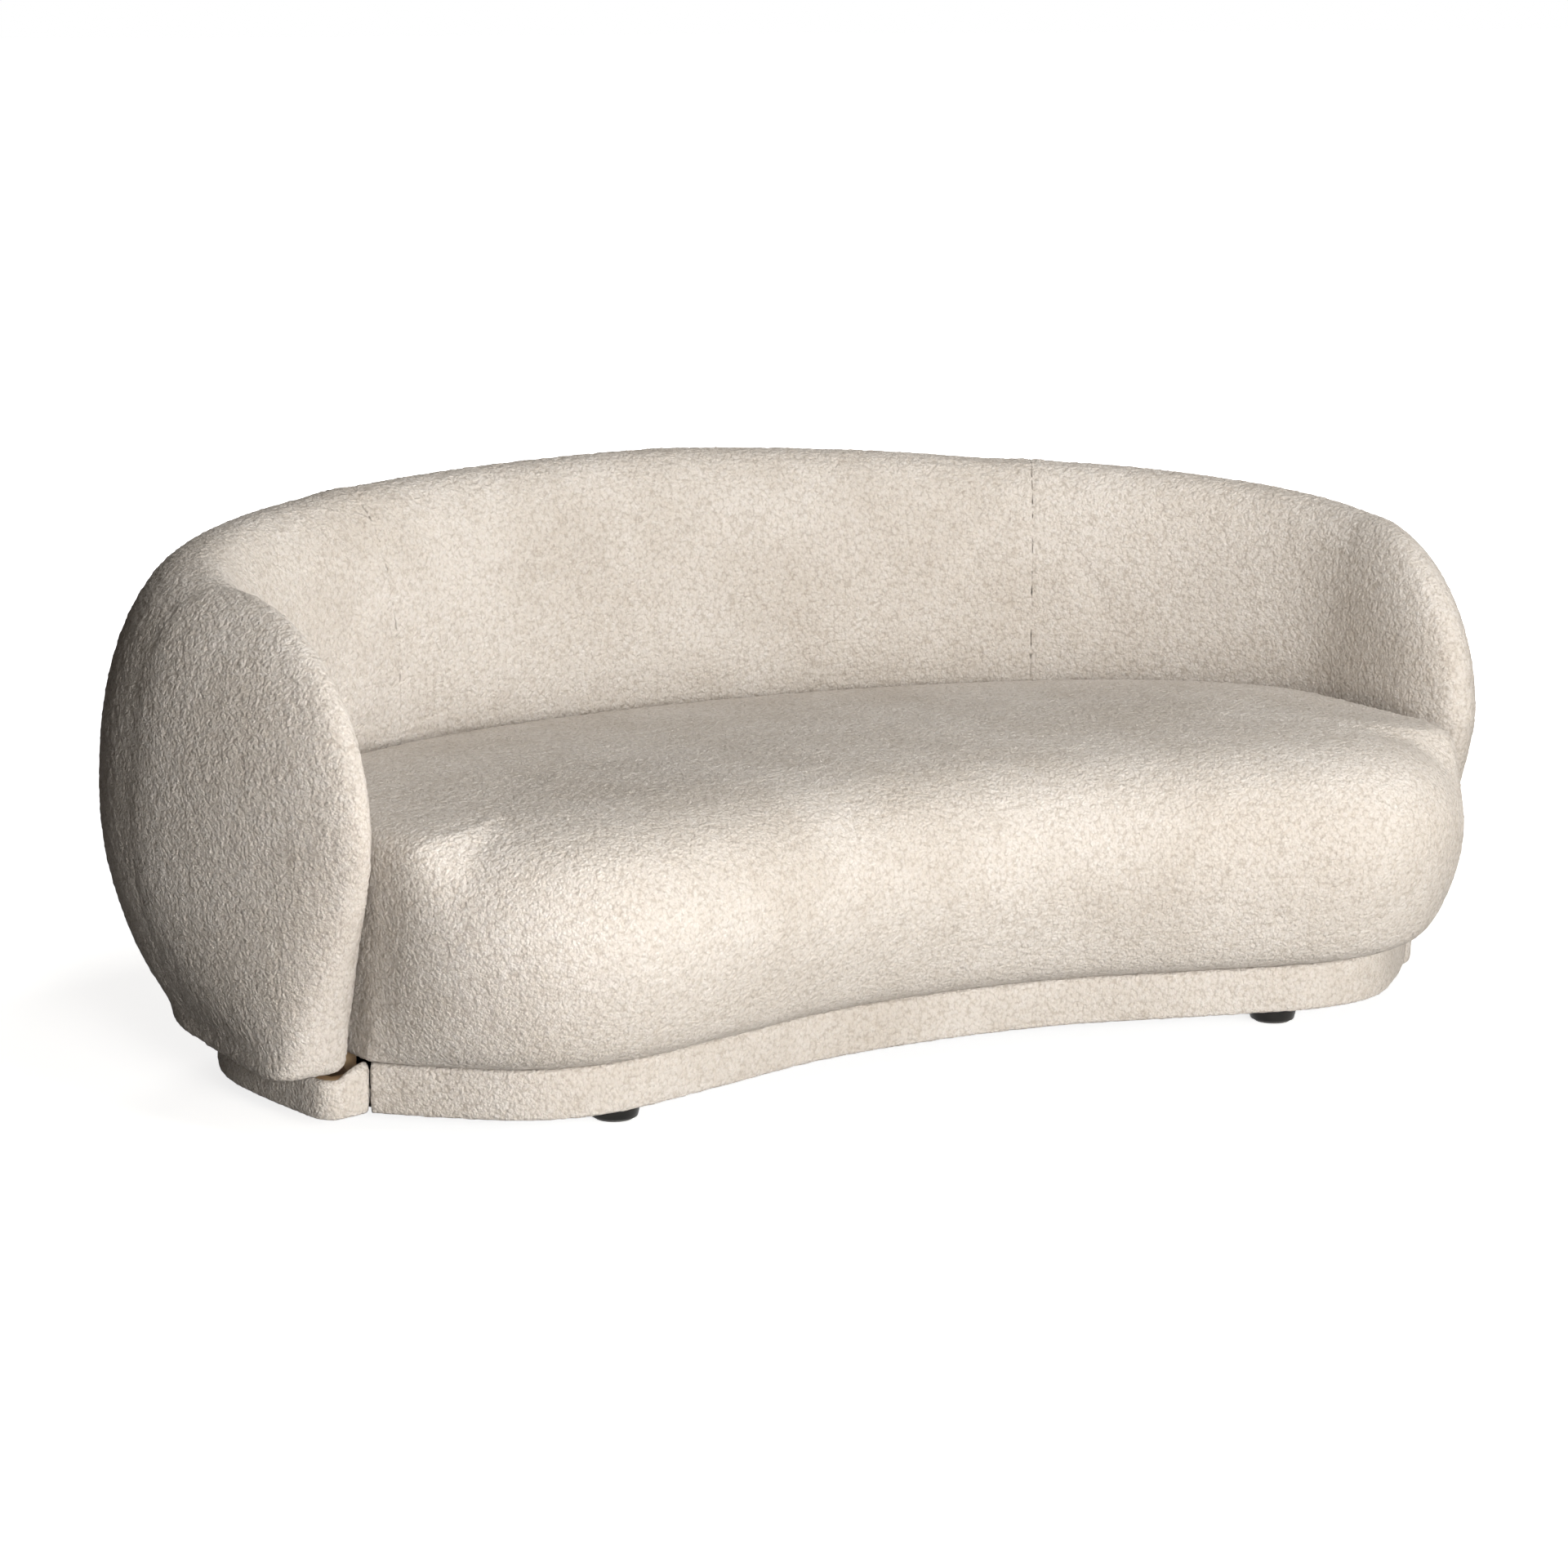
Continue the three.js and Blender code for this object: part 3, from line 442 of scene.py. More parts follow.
# ---------------------------------------------------------------- seat cover
def seat_piece(name):
    front = even(spline(mirrored(SEAT_BELLY)), count=SEAT_COLUMNS)
    lip = even(spline(mirrored(SEAT_LIP)), count=SEAT_COLUMNS)
    away = outward(front)
    share = np.clip((SEAT_HALF - np.abs(front[:, 0])) / SEAT_END_REACH, 0, 1)
    share = (share * share * (3 - 2 * share))[:, None]
    clear = (INNER[0], INNER[1] - SEAT_CLEAR, INNER[2] - SEAT_CLEAR)
    rear = even(ellipse_point(clear, np.linspace(90, -90, 300)), count=SEAT_COLUMNS)
    rear_away = outward(rear)
    profile = even(spline(SEAT_FRONT_SWELL), spacing=COARSE)
    tuck_curve = spline(SEAT_TUCK)
    tucks = np.interp(profile[:, 1], tuck_curve[:, 1], tuck_curve[:, 0])
    side_curve = spline(SEAT_SIDE_SWELL)
    side_inset = np.interp(profile[:, 1], side_curve[:, 1], side_curve[:, 0])
    side_steps = np.linspace(0, 1, SIDE_COUNT)[1:-1, None]
    loops = []
    for (swell, z), side, tuck in zip(profile, side_inset, tucks):
        f = mix(front - away * (share * swell + (1 - share) * side), lip, tuck)
        r = rear - rear_away * side
        loop = np.concatenate([f, mix(f[-1], r[0], side_steps), r, mix(r[-1], f[0], side_steps)])
        loops.append(np.column_stack([loop, np.full(len(loop), z)]))
    t = np.linspace(0, 1, SEAT_COLUMNS)
    spine = np.column_stack([SPINE_HALF * (2 * t - 1), SPINE_Y - SPINE_BOW * (2 * t - 1) ** 2])
    k = SIDE_COUNT - 2
    target = np.concatenate([spine, np.repeat(spine[-1:], k, 0), spine[::-1], np.repeat(spine[:1], k, 0)])
    low = np.column_stack([target, np.full(len(target), loops[0][0, 2])])
    high = np.column_stack([target, np.full(len(target), loops[-1][0, 2])])
    under = [mix(low, loops[0], v) for v in np.linspace(0, 1, 16)[:-1]]
    over = []
    for v in np.linspace(0, 1, 19)[1:]:
        ring = mix(loops[-1], high, v)
        ring[:, 2] += SEAT_CROWN_RISE * (1 - (1 - v) ** 2)
        over.append(ring)
    return closed_mesh(name, under + loops + over)


# ---------------------------------------------------------------- plinth bands
def seam_lift(line):
    """How far a shell plinth cover's top rises along a plan line, where it meets the seat's plinth cover."""
    away_from_seam = np.linalg.norm(np.abs(line) - np.array(RIGHT_CORNER[0]), axis=1)
    return SEAM_LIFT * (1 - round_in(away_from_seam / SEAM_LIFT_REACH, 1.5))


def plinth_band(name, line, top):
    """A wrapped board along a plan line whose right side faces outwards, with soft rounded edges."""
    line = even(line, spacing=BAND_SPACING)
    lift = seam_lift(line) if top == PLINTH_TOP else np.zeros(len(line))
    away = outward(line)
    high = top - PLINTH_BOTTOM
    corner = np.radians(np.linspace(0, 90, 5))
    profile = []
    for a in corner:
        profile.append((-BAND_EDGE + BAND_EDGE * np.sin(a), BAND_EDGE - BAND_EDGE * np.cos(a)))
    for h in np.linspace(BAND_EDGE, high - BAND_EDGE, 14)[1:-1]:
        profile.append((0, h))
    for a in corner[::-1]:
        profile.append((-BAND_EDGE + BAND_EDGE * np.sin(a), high - BAND_EDGE + BAND_EDGE * np.cos(a)))
    profile += [(-WRAP, high), (-WRAP, high * 0.75), (-WRAP, high * 0.5), (-WRAP, high * 0.25), (-WRAP, 0)]
    profile = np.array(profile)
    swell = BAND_SWELL * np.clip(1 - (2 * profile[:, 1] / high - 1) ** 2, 0, 1)
    offset = np.where(profile[:, 0] > -WRAP, profile[:, 0] + swell, profile[:, 0])
    rings = []
    ends = [0.35, 0.75] + [1.0] * len(line) + [0.75, 0.35]
    spots = [0, 0] + list(range(len(line))) + [len(line) - 1] * 2
    middle = np.array([-WRAP / 2, high / 2])
    flat = np.column_stack([offset, profile[:, 1]])
    for size, i in zip(ends, spots):
        ring = mix(middle, flat, size)
        plan = line[i] + away[i] * ring[:, :1]
        rings.append(np.column_stack([plan, PLINTH_BOTTOM + ring[:, 1] * (1 + lift[i] / high)]))
    tips = [np.repeat(r.mean(0)[None], len(r), 0) for r in (rings[0], rings[-1])]
    return closed_mesh(name, [tips[0]] + rings + [tips[1]])


def shell_plinth_line(corner, to_phi):
    arc = ellipse_point(PLINTH, np.linspace(90, to_phi, 40))
    return np.concatenate([spline(corner), arc])


# ---------------------------------------------------------------- materials
class Shader:
    """A small helper that adds nodes to one material and links them."""

    def __init__(self, name):
        self.material = bpy.data.materials.new(name)
        self.material.use_nodes = True
        self.tree = self.material.node_tree
        self.tree.nodes.clear()
        self.output = self.add("ShaderNodeOutputMaterial")
        self.surface = self.add("ShaderNodeBsdfPrincipled")
        self.link(self.surface.outputs[0], self.output.inputs["Surface"])
        self.place = self.add("ShaderNodeTexCoord").outputs["Object"]

    def add(self, kind, **settings):
        node = self.tree.nodes.new(kind)
        for key, value in settings.items():
            setattr(node, key, value)
        return node

    def link(self, source, target):
        self.tree.links.new(source, target)

    def set(self, **sockets):
        for key, value in sockets.items():
            self.surface.inputs[key.replace("_", " ")].default_value = value

    def math(self, operation, a, b=0.0, clamp=False):
        node = self.add("ShaderNodeMath", operation=operation, use_clamp=clamp)
        for socket, value in zip(node.inputs, (a, b)):
            if isinstance(value, (int, float)):
                socket.default_value = value
            else:
                self.link(value, socket)
        return node.outputs[0]

    def noise(self, scale, detail=2.0, roughness=0.5, vector=None):
        node = self.add("ShaderNodeTexNoise")
        node.inputs["Scale"].default_value = scale
        node.inputs["Detail"].default_value = detail
        node.inputs["Roughness"].default_value = roughness
        self.link(vector or self.place, node.inputs["Vector"])
        return node

    def cells(self, scale, vector=None, feature="F1"):
        node = self.add("ShaderNodeTexVoronoi", feature=feature)
        node.inputs["Scale"].default_value = scale
        self.link(vector or self.place, node.inputs["Vector"])
        return node

    def ramp(self, factor, stops):
        node = self.add("ShaderNodeValToRGB")
        elements = node.color_ramp.elements
        while len(elements) < len(stops):
            elements.new(0.5)
        for element, (position, colour) in zip(elements, stops):
            element.position = position
            element.color = (*colour, 1)
        self.link(factor, node.inputs[0])
        return node.outputs[0]

    def blend(self, factor, a, b, mode="MIX"):
        node = self.add("ShaderNodeMix", data_type="RGBA", blend_type=mode)
        if isinstance(factor, (int, float)):
            node.inputs[0].default_value = factor
        else:
            self.link(factor, node.inputs[0])
        for socket, value in ((node.inputs[6], a), (node.inputs[7], b)):
            if isinstance(value, tuple):
                socket.default_value = (*value, 1)
            else:
                self.link(value, socket)
        return node.outputs[2]

    def bump(self, height, strength, distance):
        node = self.add("ShaderNodeBump")
        node.inputs["Strength"].default_value = strength
        node.inputs["Distance"].default_value = distance
        self.link(height, node.inputs["Height"])
        self.link(node.outputs[0], self.surface.inputs["Normal"])

    def warped(self, scale, amount):
        """Object coordinates pushed about by noise, so that cells lose their regular shape."""
        shift = self.add("ShaderNodeVectorMath", operation="MULTIPLY_ADD")
        centred = self.add("ShaderNodeVectorMath", operation="SUBTRACT")
        self.link(self.noise(scale).outputs["Color"], centred.inputs[0])
        centred.inputs[1].default_value = (0.5, 0.5, 0.5)
        self.link(centred.outputs[0], shift.inputs[0])
        shift.inputs[1].default_value = (amount,) * 3
        self.link(self.place, shift.inputs[2])
        return shift.outputs[0]


def boucle(name, light, mid, dark):
    """Looped wool: round loops with painted shade in the gaps between them, a fuzz of fibres, and cloudy
    patches of nap.
    """
    s = Shader(name)
    crimp = s.warped(210, 0.0026)
    big = s.cells(1 / LOOP, crimp)
    small = s.cells(1.9 / LOOP, crimp)
    loops = s.math("SUBTRACT", 1.0, s.math("MULTIPLY", big.outputs["Distance"], 1.15), clamp=True)
    curls = s.math("SUBTRACT", 1.0, s.math("MULTIPLY", small.outputs["Distance"], 1.1), clamp=True)
    fibre = s.noise(900, 3, 0.6).outputs[0]
    pile_and_gap_shade = s.math("ADD", s.math("MULTIPLY", loops, 0.55), s.math("MULTIPLY", curls, 0.45))
    height = s.math("ADD", pile_and_gap_shade, s.math("MULTIPLY", fibre, 0.35))
    # Colour from the loops' height is painted shade: dark in the gaps between the loops, lighter on their
    # tops.
    cloth = s.ramp(pile_and_gap_shade, [(0.15, dark), (0.42, mid), (0.75, light)])
    tint = s.ramp(big.outputs["Color"], [(0.0, (0.93, 0.90, 0.86)), (1.0, (1.0, 1.0, 1.0))])
    cloth = s.blend(0.8, cloth, tint, "MULTIPLY")
    nap = s.noise(5.5, 3, 0.55).outputs[0]
    patches = s.ramp(nap, [(0.36, (0.90, 0.885, 0.865)), (0.62, (1.0, 1.0, 1.0))])
    cloth = s.blend(1.0, cloth, patches, "MULTIPLY")
    s.link(cloth, s.surface.inputs["Base Color"])
    rough = s.math("ADD", s.math("MULTIPLY", fibre, 0.18), 0.82, clamp=True)
    s.link(rough, s.surface.inputs["Roughness"])
    s.set(Sheen_Weight=0.22, Sheen_Roughness=0.55, Sheen_Tint=(1.0, 0.965, 0.91, 1), Specular_IOR_Level=0.12)
    s.bump(height, 0.85, 0.0042)
    return s.material


def timber(name, light, dark, axis, scale, ply=0.0):
    """Sawn wood with its grain along one axis; ply adds the thin layers of plywood in height."""
    s = Shader(name)
    stretch = s.add("ShaderNodeMapping")
    stretch.inputs["Scale"].default_value = [scale * (0.12 if k == axis else 1.0) for k in range(3)]
    s.link(s.place, stretch.inputs["Vector"])
    grain = s.noise(6.0, 5, 0.62, stretch.outputs[0]).outputs[0]
    rings = s.math("FRACT", s.math("MULTIPLY", grain, 5.0))
    colour = s.ramp(rings, [(0.0, light), (0.75, dark), (1.0, light)])
    fine = s.noise(60, 3, 0.6, stretch.outputs[0]).outputs[0]
    colour = s.blend(0.35, colour, s.ramp(fine, [(0.3, dark), (0.7, light)]))
    height = s.math("ADD", s.math("MULTIPLY", rings, 0.3), fine)
    if ply:
        parts = s.add("ShaderNodeSeparateXYZ")
        s.link(s.place, parts.inputs[0])
        layer = s.math("FRACT", s.math("MULTIPLY", parts.outputs["Z"], 1 / ply))
        edge = s.ramp(layer, [(0.42, (1, 1, 1)), (0.5, (0.72, 0.62, 0.5)), (0.58, (1, 1, 1))])
        colour = s.blend(0.4, colour, edge, "MULTIPLY")
    s.link(colour, s.surface.inputs["Base Color"])
    s.link(s.math("ADD", s.math("MULTIPLY", fine, 0.25), 0.55), s.surface.inputs["Roughness"])
    s.bump(height, 0.25, 0.0006)
    return s.material


def lacquer():
    """Black lacquer on turned wood: faint turning rings, dust and a faint cloudy haze."""
    s = Shader("black_lacquer")
    dust = s.noise(240, 4, 0.65).outputs[0]
    haze = s.noise(35, 3, 0.5).outputs[0]
    colour = s.ramp(haze, [(0.3, (0.006, 0.0055, 0.005)), (0.75, (0.016, 0.014, 0.012))])
    dusty = s.blend(s.math("MULTIPLY", dust, 0.03), colour, (0.06, 0.056, 0.052))
    s.link(dusty, s.surface.inputs["Base Color"])
    s.link(s.math("ADD", s.math("MULTIPLY", haze, 0.2), 0.26), s.surface.inputs["Roughness"])
    s.set(Specular_IOR_Level=0.22)
    rings = s.add("ShaderNodeTexWave", wave_type="BANDS", bands_direction="Z")
    rings.inputs["Scale"].default_value = 160
    rings.inputs["Distortion"].default_value = 0.6
    s.link(s.place, rings.inputs["Vector"])
    s.bump(s.math("ADD", s.math("MULTIPLY", rings.outputs["Fac"], 0.5), dust), 0.12, 0.0003)
    return s.material


def steel():
    """Drawn wire, bare and slightly dull."""
    s = Shader("spring_steel")
    drawn = s.noise(420, 4, 0.7).outputs[0]
    colour = s.ramp(drawn, [(0.3, (0.20, 0.205, 0.21)), (0.7, (0.42, 0.43, 0.44))])
    s.link(colour, s.surface.inputs["Base Color"])
    s.link(s.math("ADD", s.math("MULTIPLY", drawn, 0.25), 0.25), s.surface.inputs["Roughness"])
    s.set(Metallic=1.0)
    s.bump(drawn, 0.2, 0.0002)
    return s.material


def felt(name, light, dark, fibre_scale):
    """Pressed fibres."""
    s = Shader(name)
    fibre = s.noise(fibre_scale, 5, 0.7, s.warped(60, 0.02)).outputs[0]
    s.link(s.ramp(fibre, [(0.3, dark), (0.7, light)]), s.surface.inputs["Base Color"])
    s.link(s.math("ADD", s.math("MULTIPLY", fibre, 0.15), 0.8), s.surface.inputs["Roughness"])
    s.set(Sheen_Weight=0.25, Sheen_Roughness=0.6)
    s.bump(fibre, 0.5, 0.0008)
    return s.material


def lining():
    """Black non-woven base cloth: a fine grid of pressed dots over matted fibres."""
    s = Shader("base_lining")
    dots = s.cells(420).outputs["Distance"]
    fibre = s.noise(500, 4, 0.7).outputs[0]
    colour = s.ramp(fibre, [(0.3, (0.012, 0.012, 0.013)), (0.7, (0.045, 0.045, 0.047))])
    s.link(colour, s.surface.inputs["Base Color"])
    s.link(s.math("ADD", s.math("MULTIPLY", fibre, 0.2), 0.72), s.surface.inputs["Roughness"])
    s.set(Sheen_Weight=0.15, Sheen_Roughness=0.5)
    s.bump(s.math("ADD", dots, fibre), 0.4, 0.0005)
    return s.material


# Light, mid and dark colours of the cream wool; the dark one is painted shade for the gaps between the loops.
BOUCLE = boucle("boucle_cream", (0.70, 0.662, 0.624), (0.652, 0.612, 0.573), (0.52, 0.475, 0.430))
BLACK = lacquer()
FELT = felt("pressed_felt", (0.11, 0.108, 0.104), (0.045, 0.044, 0.042), 380)
LINING = lining()
STEEL = steel()
CAD_LOOKS = {
    "shell_rib": timber("plywood_ribs", (0.62, 0.44, 0.26), (0.48, 0.31, 0.17), 2, 1.0, 0.0036),
    "_panel": timber("plywood_panels", (0.60, 0.43, 0.26), (0.46, 0.30, 0.16), 0, 1.0, 0.0036),
    "back_lining_board": timber("plywood_back", (0.63, 0.46, 0.28), (0.50, 0.33, 0.18), 2, 1.0),
    "rail": timber("pine_rails", (0.70, 0.52, 0.31), (0.55, 0.36, 0.19), 0, 1.3),
    "base_board": timber("pine_boards", (0.68, 0.50, 0.30), (0.52, 0.34, 0.18), 0, 1.1),
    "cross_rib": timber("pine_ribs", (0.69, 0.51, 0.30), (0.54, 0.35, 0.19), 1, 1.2),
    "seat_spring": STEEL,
    "foot_bolt": STEEL,
    "spring_pad": FELT,
}


def dress_cad():
    """Gives every CAD node that is carried over its own finish."""
    for node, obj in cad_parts.items():
        look = next((m for key, m in CAD_LOOKS.items() if key in node), None)
        if look is None:
            continue
        for slot in obj.material_slots:
            slot.material = look


# ---------------------------------------------------------------- padding
def inflate(obj, free, cap):
    """Blows a cover up a little as cloth. free is 0 to 1 at each vertex, and cap is the most it may move."""
    scene = bpy.context.scene
    rest = coords(obj)
    pins = obj.vertex_groups.new(name="pins")
    pins.add(np.flatnonzero(free < 0.02).tolist(), 1.0, "REPLACE")
    cloth = obj.modifiers.new("cloth", "CLOTH")
    settings = cloth.settings
    settings.quality = 5
    settings.mass = 0.3
    settings.tension_stiffness = 12
    settings.compression_stiffness = 12
    settings.bending_stiffness = 0.8
    settings.use_pressure = True
    settings.uniform_pressure_force = 4
    settings.effector_weights.gravity = 0
    settings.vertex_group_mass = pins.name
    cloth.point_cache.frame_start = 1
    cloth.point_cache.frame_end = SIM_FRAMES
    for number in range(1, SIM_FRAMES + 1):
        scene.frame_set(number)
    graph = bpy.context.evaluated_depsgraph_get()
    blown = np.empty(len(rest) * 3, np.float32)
    obj.evaluated_get(graph).data.vertices.foreach_get("co", blown)
    obj.modifiers.clear()
    obj.vertex_groups.clear()
    move = blown.reshape(-1, 3) - rest
    size = np.linalg.norm(move, axis=1, keepdims=True) + 1e-9
    move *= np.minimum(size, cap) / size * free[:, None]
    set_coords(obj, rest + move)
    scene.frame_set(1)


def nap(obj, height):
    """Raises the loops of the cloth as small uneven bumps, so that its outline is nubby too."""
    for name, size, share in (("loops", LOOP, 1.0), ("clumps", 3.1 * LOOP, 0.45)):
        texture = bpy.data.textures.new(f"{name}_{obj.name}", "CLOUDS")
        texture.noise_scale = size
        texture.noise_depth = 1
        modifier = obj.modifiers.new(name, "DISPLACE")
        modifier.texture = texture
        modifier.texture_coords = "LOCAL"
        modifier.mid_level = 0.5
        modifier.strength = height * share * 4
    apply_modifiers(obj)


def sew(obj, phi):
    """Draws the cloth in along the upright seam at phi, given in degrees."""
    inner, along, _ = section(np.array(float(phi)))
    inner = np.array([inner[0], inner[1] - DEPTH_CENTRE])
    across = np.array([-along[1], along[0], 0])
    co = coords(obj)
    gap = np.abs((co[:, :2] - inner) @ across[:2])
    pull = SEAM_DEPTH * np.clip(1 - gap / SEAM_HALF, 0, 1) ** 2
    n = normals(obj)
    n -= (n @ across)[:, None] * across
    n /= np.linalg.norm(n, axis=1)[:, None] + 1e-9
    set_coords(obj, co - n * pull[:, None])


def smooth_step(x, low, high):
    t = np.clip((x - low) / (high - low), 0, 1)
    return t * t * (3 - 2 * t)


def finish_piece(obj, look, slot, *nodes):
    for polygon in obj.data.polygons:
        polygon.use_smooth = True
    obj.data.materials.clear()
    obj.data.materials.append(look)
    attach(obj, "root")
    if nodes:
        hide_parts(*nodes)
    return obj


# ---------------------------------------------------------------- turned feet
def turned(name, x, y, profile, look, slot, node):
    """A body of revolution about a vertical axis. profile is a list of radius and height pairs."""
    turn = np.linspace(0, 2 * np.pi, 64, endpoint=False)
    loops = []
    for r, z in profile:
        plan = np.column_stack([x + r * np.cos(turn), y + DEPTH_CENTRE + r * np.sin(turn)])
        loops.append(np.column_stack([plan, np.full(len(turn), z)]))
    return finish_piece(closed_mesh(name, loops, 1e-5), look, slot, node)


def make_feet():
    for corner in ("front_left", "front_right", "rear_left", "rear_right"):
        low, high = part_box(f"foot_{corner}")
        centre = (low + high) / 2
        r = (high.x - low.x) / 2
        base, top = low.z, high.z
        profile = [(0, base), (r - 6e-3, base), (r - 4.6e-3, base + 4e-4), (r - 3.8e-3, base + 1.6e-3),
                   (r - 2.4e-3, base + 8e-3), (r - 1.1e-3, base + 15e-3), (r - 2e-4, top - 4e-3),
                   (r, top - 2.6e-3), (r - 5e-4, top - 8e-4), (r - 1.6e-3, top),
                   (4.4e-3, top), (4.4e-3, 11.6e-3), (0, 11.6e-3)]
        turned(f"turned_foot_{corner}", centre.x, centre.y, profile, BLACK, "black_lacquer", f"foot_{corner}")
        low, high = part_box(f"glide_{corner}")
        r = (high.x - low.x) / 2
        profile = [(0, low.z), (r - 8e-4, low.z), (r - 2e-4, low.z + 4e-4), (r, low.z + 1e-3),
                   (r, high.z - 6e-4), (r - 5e-4, high.z), (0, high.z)]
        turned(f"felt_glide_{corner}", centre.x, centre.y, profile, FELT, "felt", f"glide_{corner}")


# ---------------------------------------------------------------- base lining
def base_lining():
    """The stapled cloth under the plinth, from the CAD sheet's own outline, cut into a grid and sagging."""
    obj = bpy.data.objects.new("base_lining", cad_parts["dust_cover"].data.copy())
    bpy.context.scene.collection.objects.link(obj)
    bm = bmesh.new()
    bm.from_mesh(obj.data)
    bmesh.ops.remove_doubles(bm, verts=bm.verts, dist=1e-5)
    low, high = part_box("dust_cover")
    cut_area = sum(face.calc_area() for face in bm.faces if face.normal.z > 0.5)
    for axis in (0, 1):
        for at in np.arange(low[axis] + 0.03, high[axis], LINING_STEP):
            point = [0, 0, 0]
            normal = [0, 0, 0]
            point[axis] = at
            normal[axis] = 1
            geometry = bm.verts[:] + bm.edges[:] + bm.faces[:]
            bmesh.ops.bisect_plane(bm, geom=geometry, plane_co=point, plane_no=normal)
    bm.to_mesh(obj.data)
    bm.free()
    co = coords(obj)
    x = co[:, 0] / high.x
    y = (co[:, 1] - low.y) / (high.y - low.y)
    span = np.clip(1 - x ** 2, 0, 1) * np.clip(4 * (y - 0.15) * (0.85 - y), 0, 1)
    ripple = 0.0006 * np.sin(31 * co[:, 0] + 2) * np.sin(23 * co[:, 1])
    co[:, 2] -= (LINING_SAG + ripple) * span
    set_coords(obj, co)
    finish_piece(obj, LINING, "lining", "dust_cover")
    for polygon in obj.data.polygons:
        polygon.use_smooth = False
    return obj


# ---------------------------------------------------------------- assembly
dress_cad()

covers = {
    "cover_back": (shell_piece("cover_back", -SEAM_PHI, SEAM_PHI, 0), (-SEAM_PHI, SEAM_PHI),
                   ["inner_foam_left", "inner_foam_centre", "inner_foam_right", "outer_foam_centre"]),
    "cover_left": (shell_piece("cover_left", SEAM_PHI, 90, -1), (-SEAM_PHI,),
                   ["inner_foam_left_corner", "outer_foam_left", "arm_foam_left"]),
    "cover_right": (shell_piece("cover_right", SEAM_PHI, 90, 1), (SEAM_PHI,),
                    ["inner_foam_right_corner", "outer_foam_right", "arm_foam_right"]),
}
for obj, seams, nodes in covers.values():
    co = coords(obj)
    free = smooth_step(co[:, 2], *FREE_ABOVE)
    foremost, half_width, half_depth = BESIDE_SEAT
    in_seat = np.hypot(co[:, 0] / half_width, (co[:, 1] - SEAT_CENTRE_Y) / half_depth) < BESIDE_MARGIN
    beside_seat = (co[:, 1] > foremost) & in_seat
    free *= np.where(beside_seat, smooth_step(co[:, 2], *FREE_ABOVE_SEAT), 1)
    for phi in seams:
        inner, along, _ = section(np.array(phi))
        gap = np.abs((co[:, 0] - inner[0]) * along[1] - (co[:, 1] + DEPTH_CENTRE - inner[1]) * along[0])
        free *= smooth_step(gap, *FREE_FROM_SEAM)
    inflate(obj, free, SHELL_PUFF)
    subdivide(obj, SUBDIVISIONS)
    nap(obj, NUB)
    for phi in seams:
        sew(obj, phi)
    finish_piece(obj, BOUCLE, "boucle", *nodes)

seat = seat_piece("cover_seat")
co = coords(seat)
free = smooth_step(co[:, 2], *FREE_ABOVE)
behind = np.maximum(co[:, 1] - SEAT_CENTRE_Y, 0)
rear_gap = 1 - np.hypot(co[:, 0] / SEAT_REAR[0], behind / SEAT_REAR[1])
free *= smooth_step(rear_gap, *FREE_FROM_REAR)
inflate(seat, free, SEAT_PUFF)
subdivide(seat, SUBDIVISIONS)
nap(seat, NUB)
finish_piece(seat, BOUCLE, "boucle", "seat_topper_foam", "seat_core_foam", "seat_front_foam")

rear_arc = ellipse_point(PLINTH, np.linspace(PLINTH_SPLIT, -PLINTH_SPLIT, 120))
bands = {
    "seat": (spline(mirrored(PLINTH_FRONT)), SEAT_PLINTH_TOP),
    "rear": (rear_arc, PLINTH_TOP),
    "right": (shell_plinth_line(RIGHT_CORNER, SIDE_PLINTH_END), PLINTH_TOP),
    "left": (shell_plinth_line(LEFT_CORNER, SIDE_PLINTH_END)[::-1] * [-1, 1], PLINTH_TOP),
}
for name, (line, top) in bands.items():
    band = plinth_band(f"wrapped_plinth_{name}", line, top)
    nap(band, NUB * 0.7)
    finish_piece(band, BOUCLE, "boucle", f"plinth_band_{name}")

make_feet()
base_lining()


# ---------------------------------------------------------------- studio
def floor():
    """A pale floor that glows a little, so that it fades into the white backdrop."""
    mesh = bpy.data.meshes.new("floor")
    corners = [(x * FLOOR_HALF, y * FLOOR_HALF, 0) for x, y in ((-1, -1), (1, -1), (1, 1), (-1, 1))]
    mesh.from_pydata(corners, [], [(0, 1, 2, 3)])
    obj = bpy.data.objects.new("floor", mesh)
    bpy.context.scene.collection.objects.link(obj)
    s = Shader("pale_floor")
    cloud = s.noise(0.7, 3, 0.5).outputs[0]
    colour = s.ramp(cloud, [(0.3, (0.90, 0.90, 0.895)), (0.7, (0.925, 0.922, 0.917))])
    s.link(colour, s.surface.inputs["Base Color"])
    apart = s.add("ShaderNodeVectorMath", operation="LENGTH")
    s.link(s.place, apart.inputs[0])
    rise = [(GLOW_RISE[0], (FLOOR_GLOW,) * 3), (GLOW_RISE[1], (1, 1, 1))]
    glow = s.ramp(s.math("MULTIPLY", apart.outputs["Value"], 0.1), rise)
    s.link(glow, s.surface.inputs["Emission Color"])
    s.set(Roughness=0.9, Emission_Strength=1.0)
    mesh.materials.append(s.material)
    obj.visible_diffuse = False


def softbox(name, at, look_at, width, height, power, colour, spread=180):
    """A rectangular light that the camera does not see. spread is in degrees."""
    data = bpy.data.lights.new(name, "AREA")
    data.shape = "RECTANGLE"
    data.size = width
    data.size_y = height
    data.spread = np.radians(spread)
    data.energy = power
    data.color = colour
    obj = bpy.data.objects.new(name, data)
    bpy.context.scene.collection.objects.link(obj)
    obj.location = at
    obj.rotation_euler = (Vector(look_at) - Vector(at)).to_track_quat("-Z", "Y").to_euler()
    obj.visible_camera = False


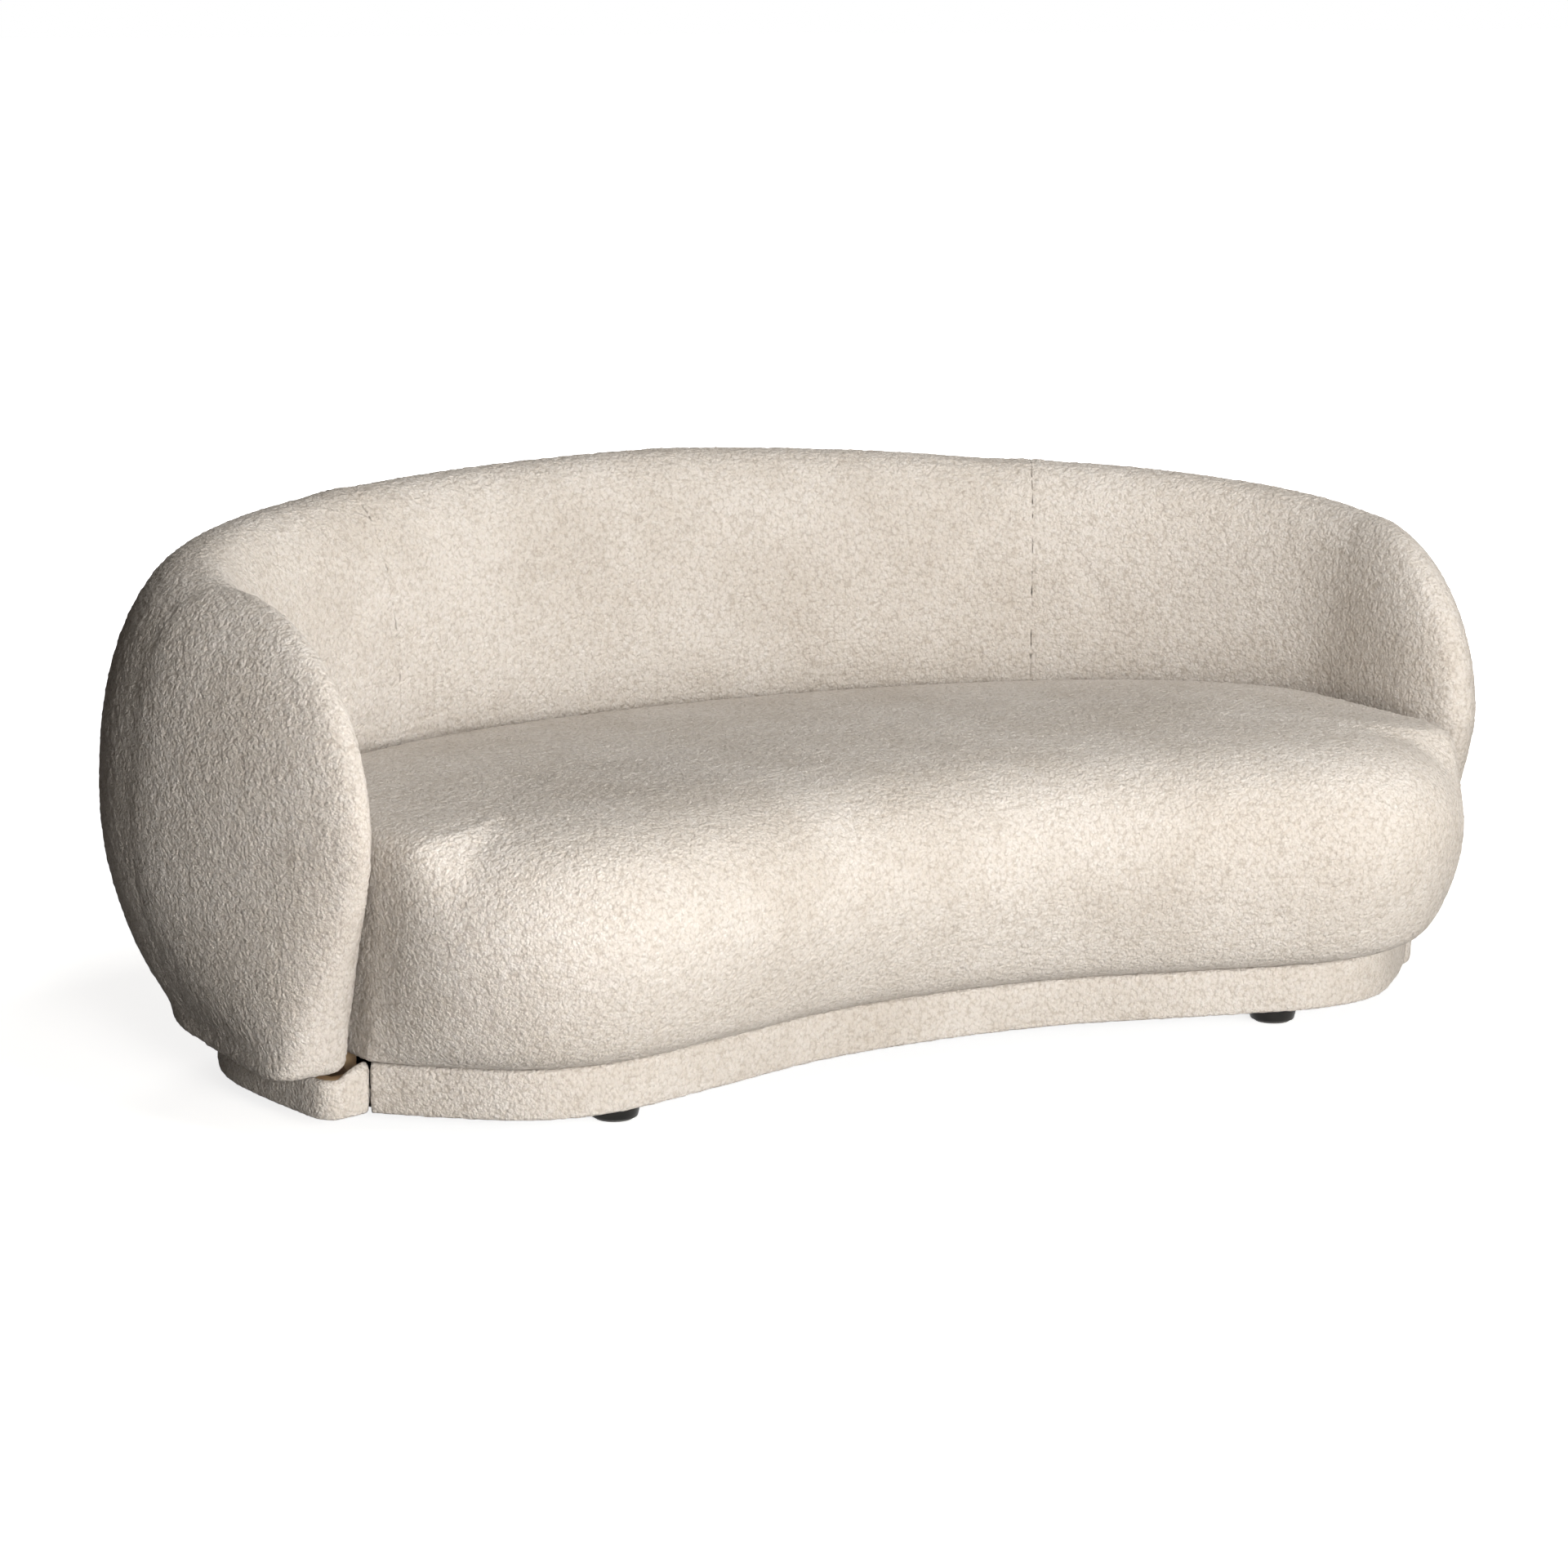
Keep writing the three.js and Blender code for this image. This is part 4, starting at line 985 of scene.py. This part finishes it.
def lamp(name, at, radius, power, colour):
    """A round light that the camera does not see."""
    data = bpy.data.lights.new(name, "POINT")
    data.shadow_soft_size = radius
    data.energy = power
    data.color = colour
    obj = bpy.data.objects.new(name, data)
    bpy.context.scene.collection.objects.link(obj)
    obj.location = at
    obj.visible_camera = False


def surroundings():
    """A backdrop that the camera sees as white, while everything else gets a weak warm light from it."""
    world = bpy.data.worlds.new("studio")
    bpy.context.scene.world = world
    world.use_nodes = True
    tree = world.node_tree
    tree.nodes.clear()
    output = tree.nodes.new("ShaderNodeOutputWorld")
    switch = tree.nodes.new("ShaderNodeMixShader")
    rays = tree.nodes.new("ShaderNodeLightPath")
    ambient = tree.nodes.new("ShaderNodeBackground")
    white = tree.nodes.new("ShaderNodeBackground")
    ambient.inputs["Color"].default_value = WARM_AMBIENT
    ambient.inputs["Strength"].default_value = AMBIENT
    white.inputs["Color"].default_value = (1, 1, 1, 1)
    tree.links.new(rays.outputs["Is Camera Ray"], switch.inputs[0])
    tree.links.new(ambient.outputs[0], switch.inputs[1])
    tree.links.new(white.outputs[0], switch.inputs[2])
    tree.links.new(switch.outputs[0], output.inputs["Surface"])
    bpy.context.scene.view_settings.view_transform = "Standard"


floor()
surroundings()
softbox("key", (-2.3, -8.8, 2.2), (-0.1, -0.1, 0.4), 3.0, 2.0, 365, DAYLIGHT)
softbox("low_fill", (-1.5, -3.5, 0.35), (-0.5, -0.1, 0.3), 3.0, 0.6, 38, (1.0, 0.975, 0.94))
softbox("bounce", (0.2, -2.3, 0.03), (0.1, -0.9, 0.9), 3.4, 1.6, 39, (1.0, 0.965, 0.92))
softbox("side_fill", (3.4, -4.6, 1.0), (0.4, -0.2, 0.4), 2.0, 1.4, 78, PALE_LIGHT)
softbox("arm_fill", (-1.6, -3.9, 0.9), (-1.04, -0.25, 0.40), 0.5, 0.5, 0.5, DAYLIGHT, spread=24)
lamp("rear_fill", (3.2, 4.8, 2.2), 0.9, 320, PALE_LIGHT)
softbox("overhead", (0.5, -1.2, 3.2), (0.1, -0.3, 0.4), 2.8, 1.4, 66, PALE_LIGHT)
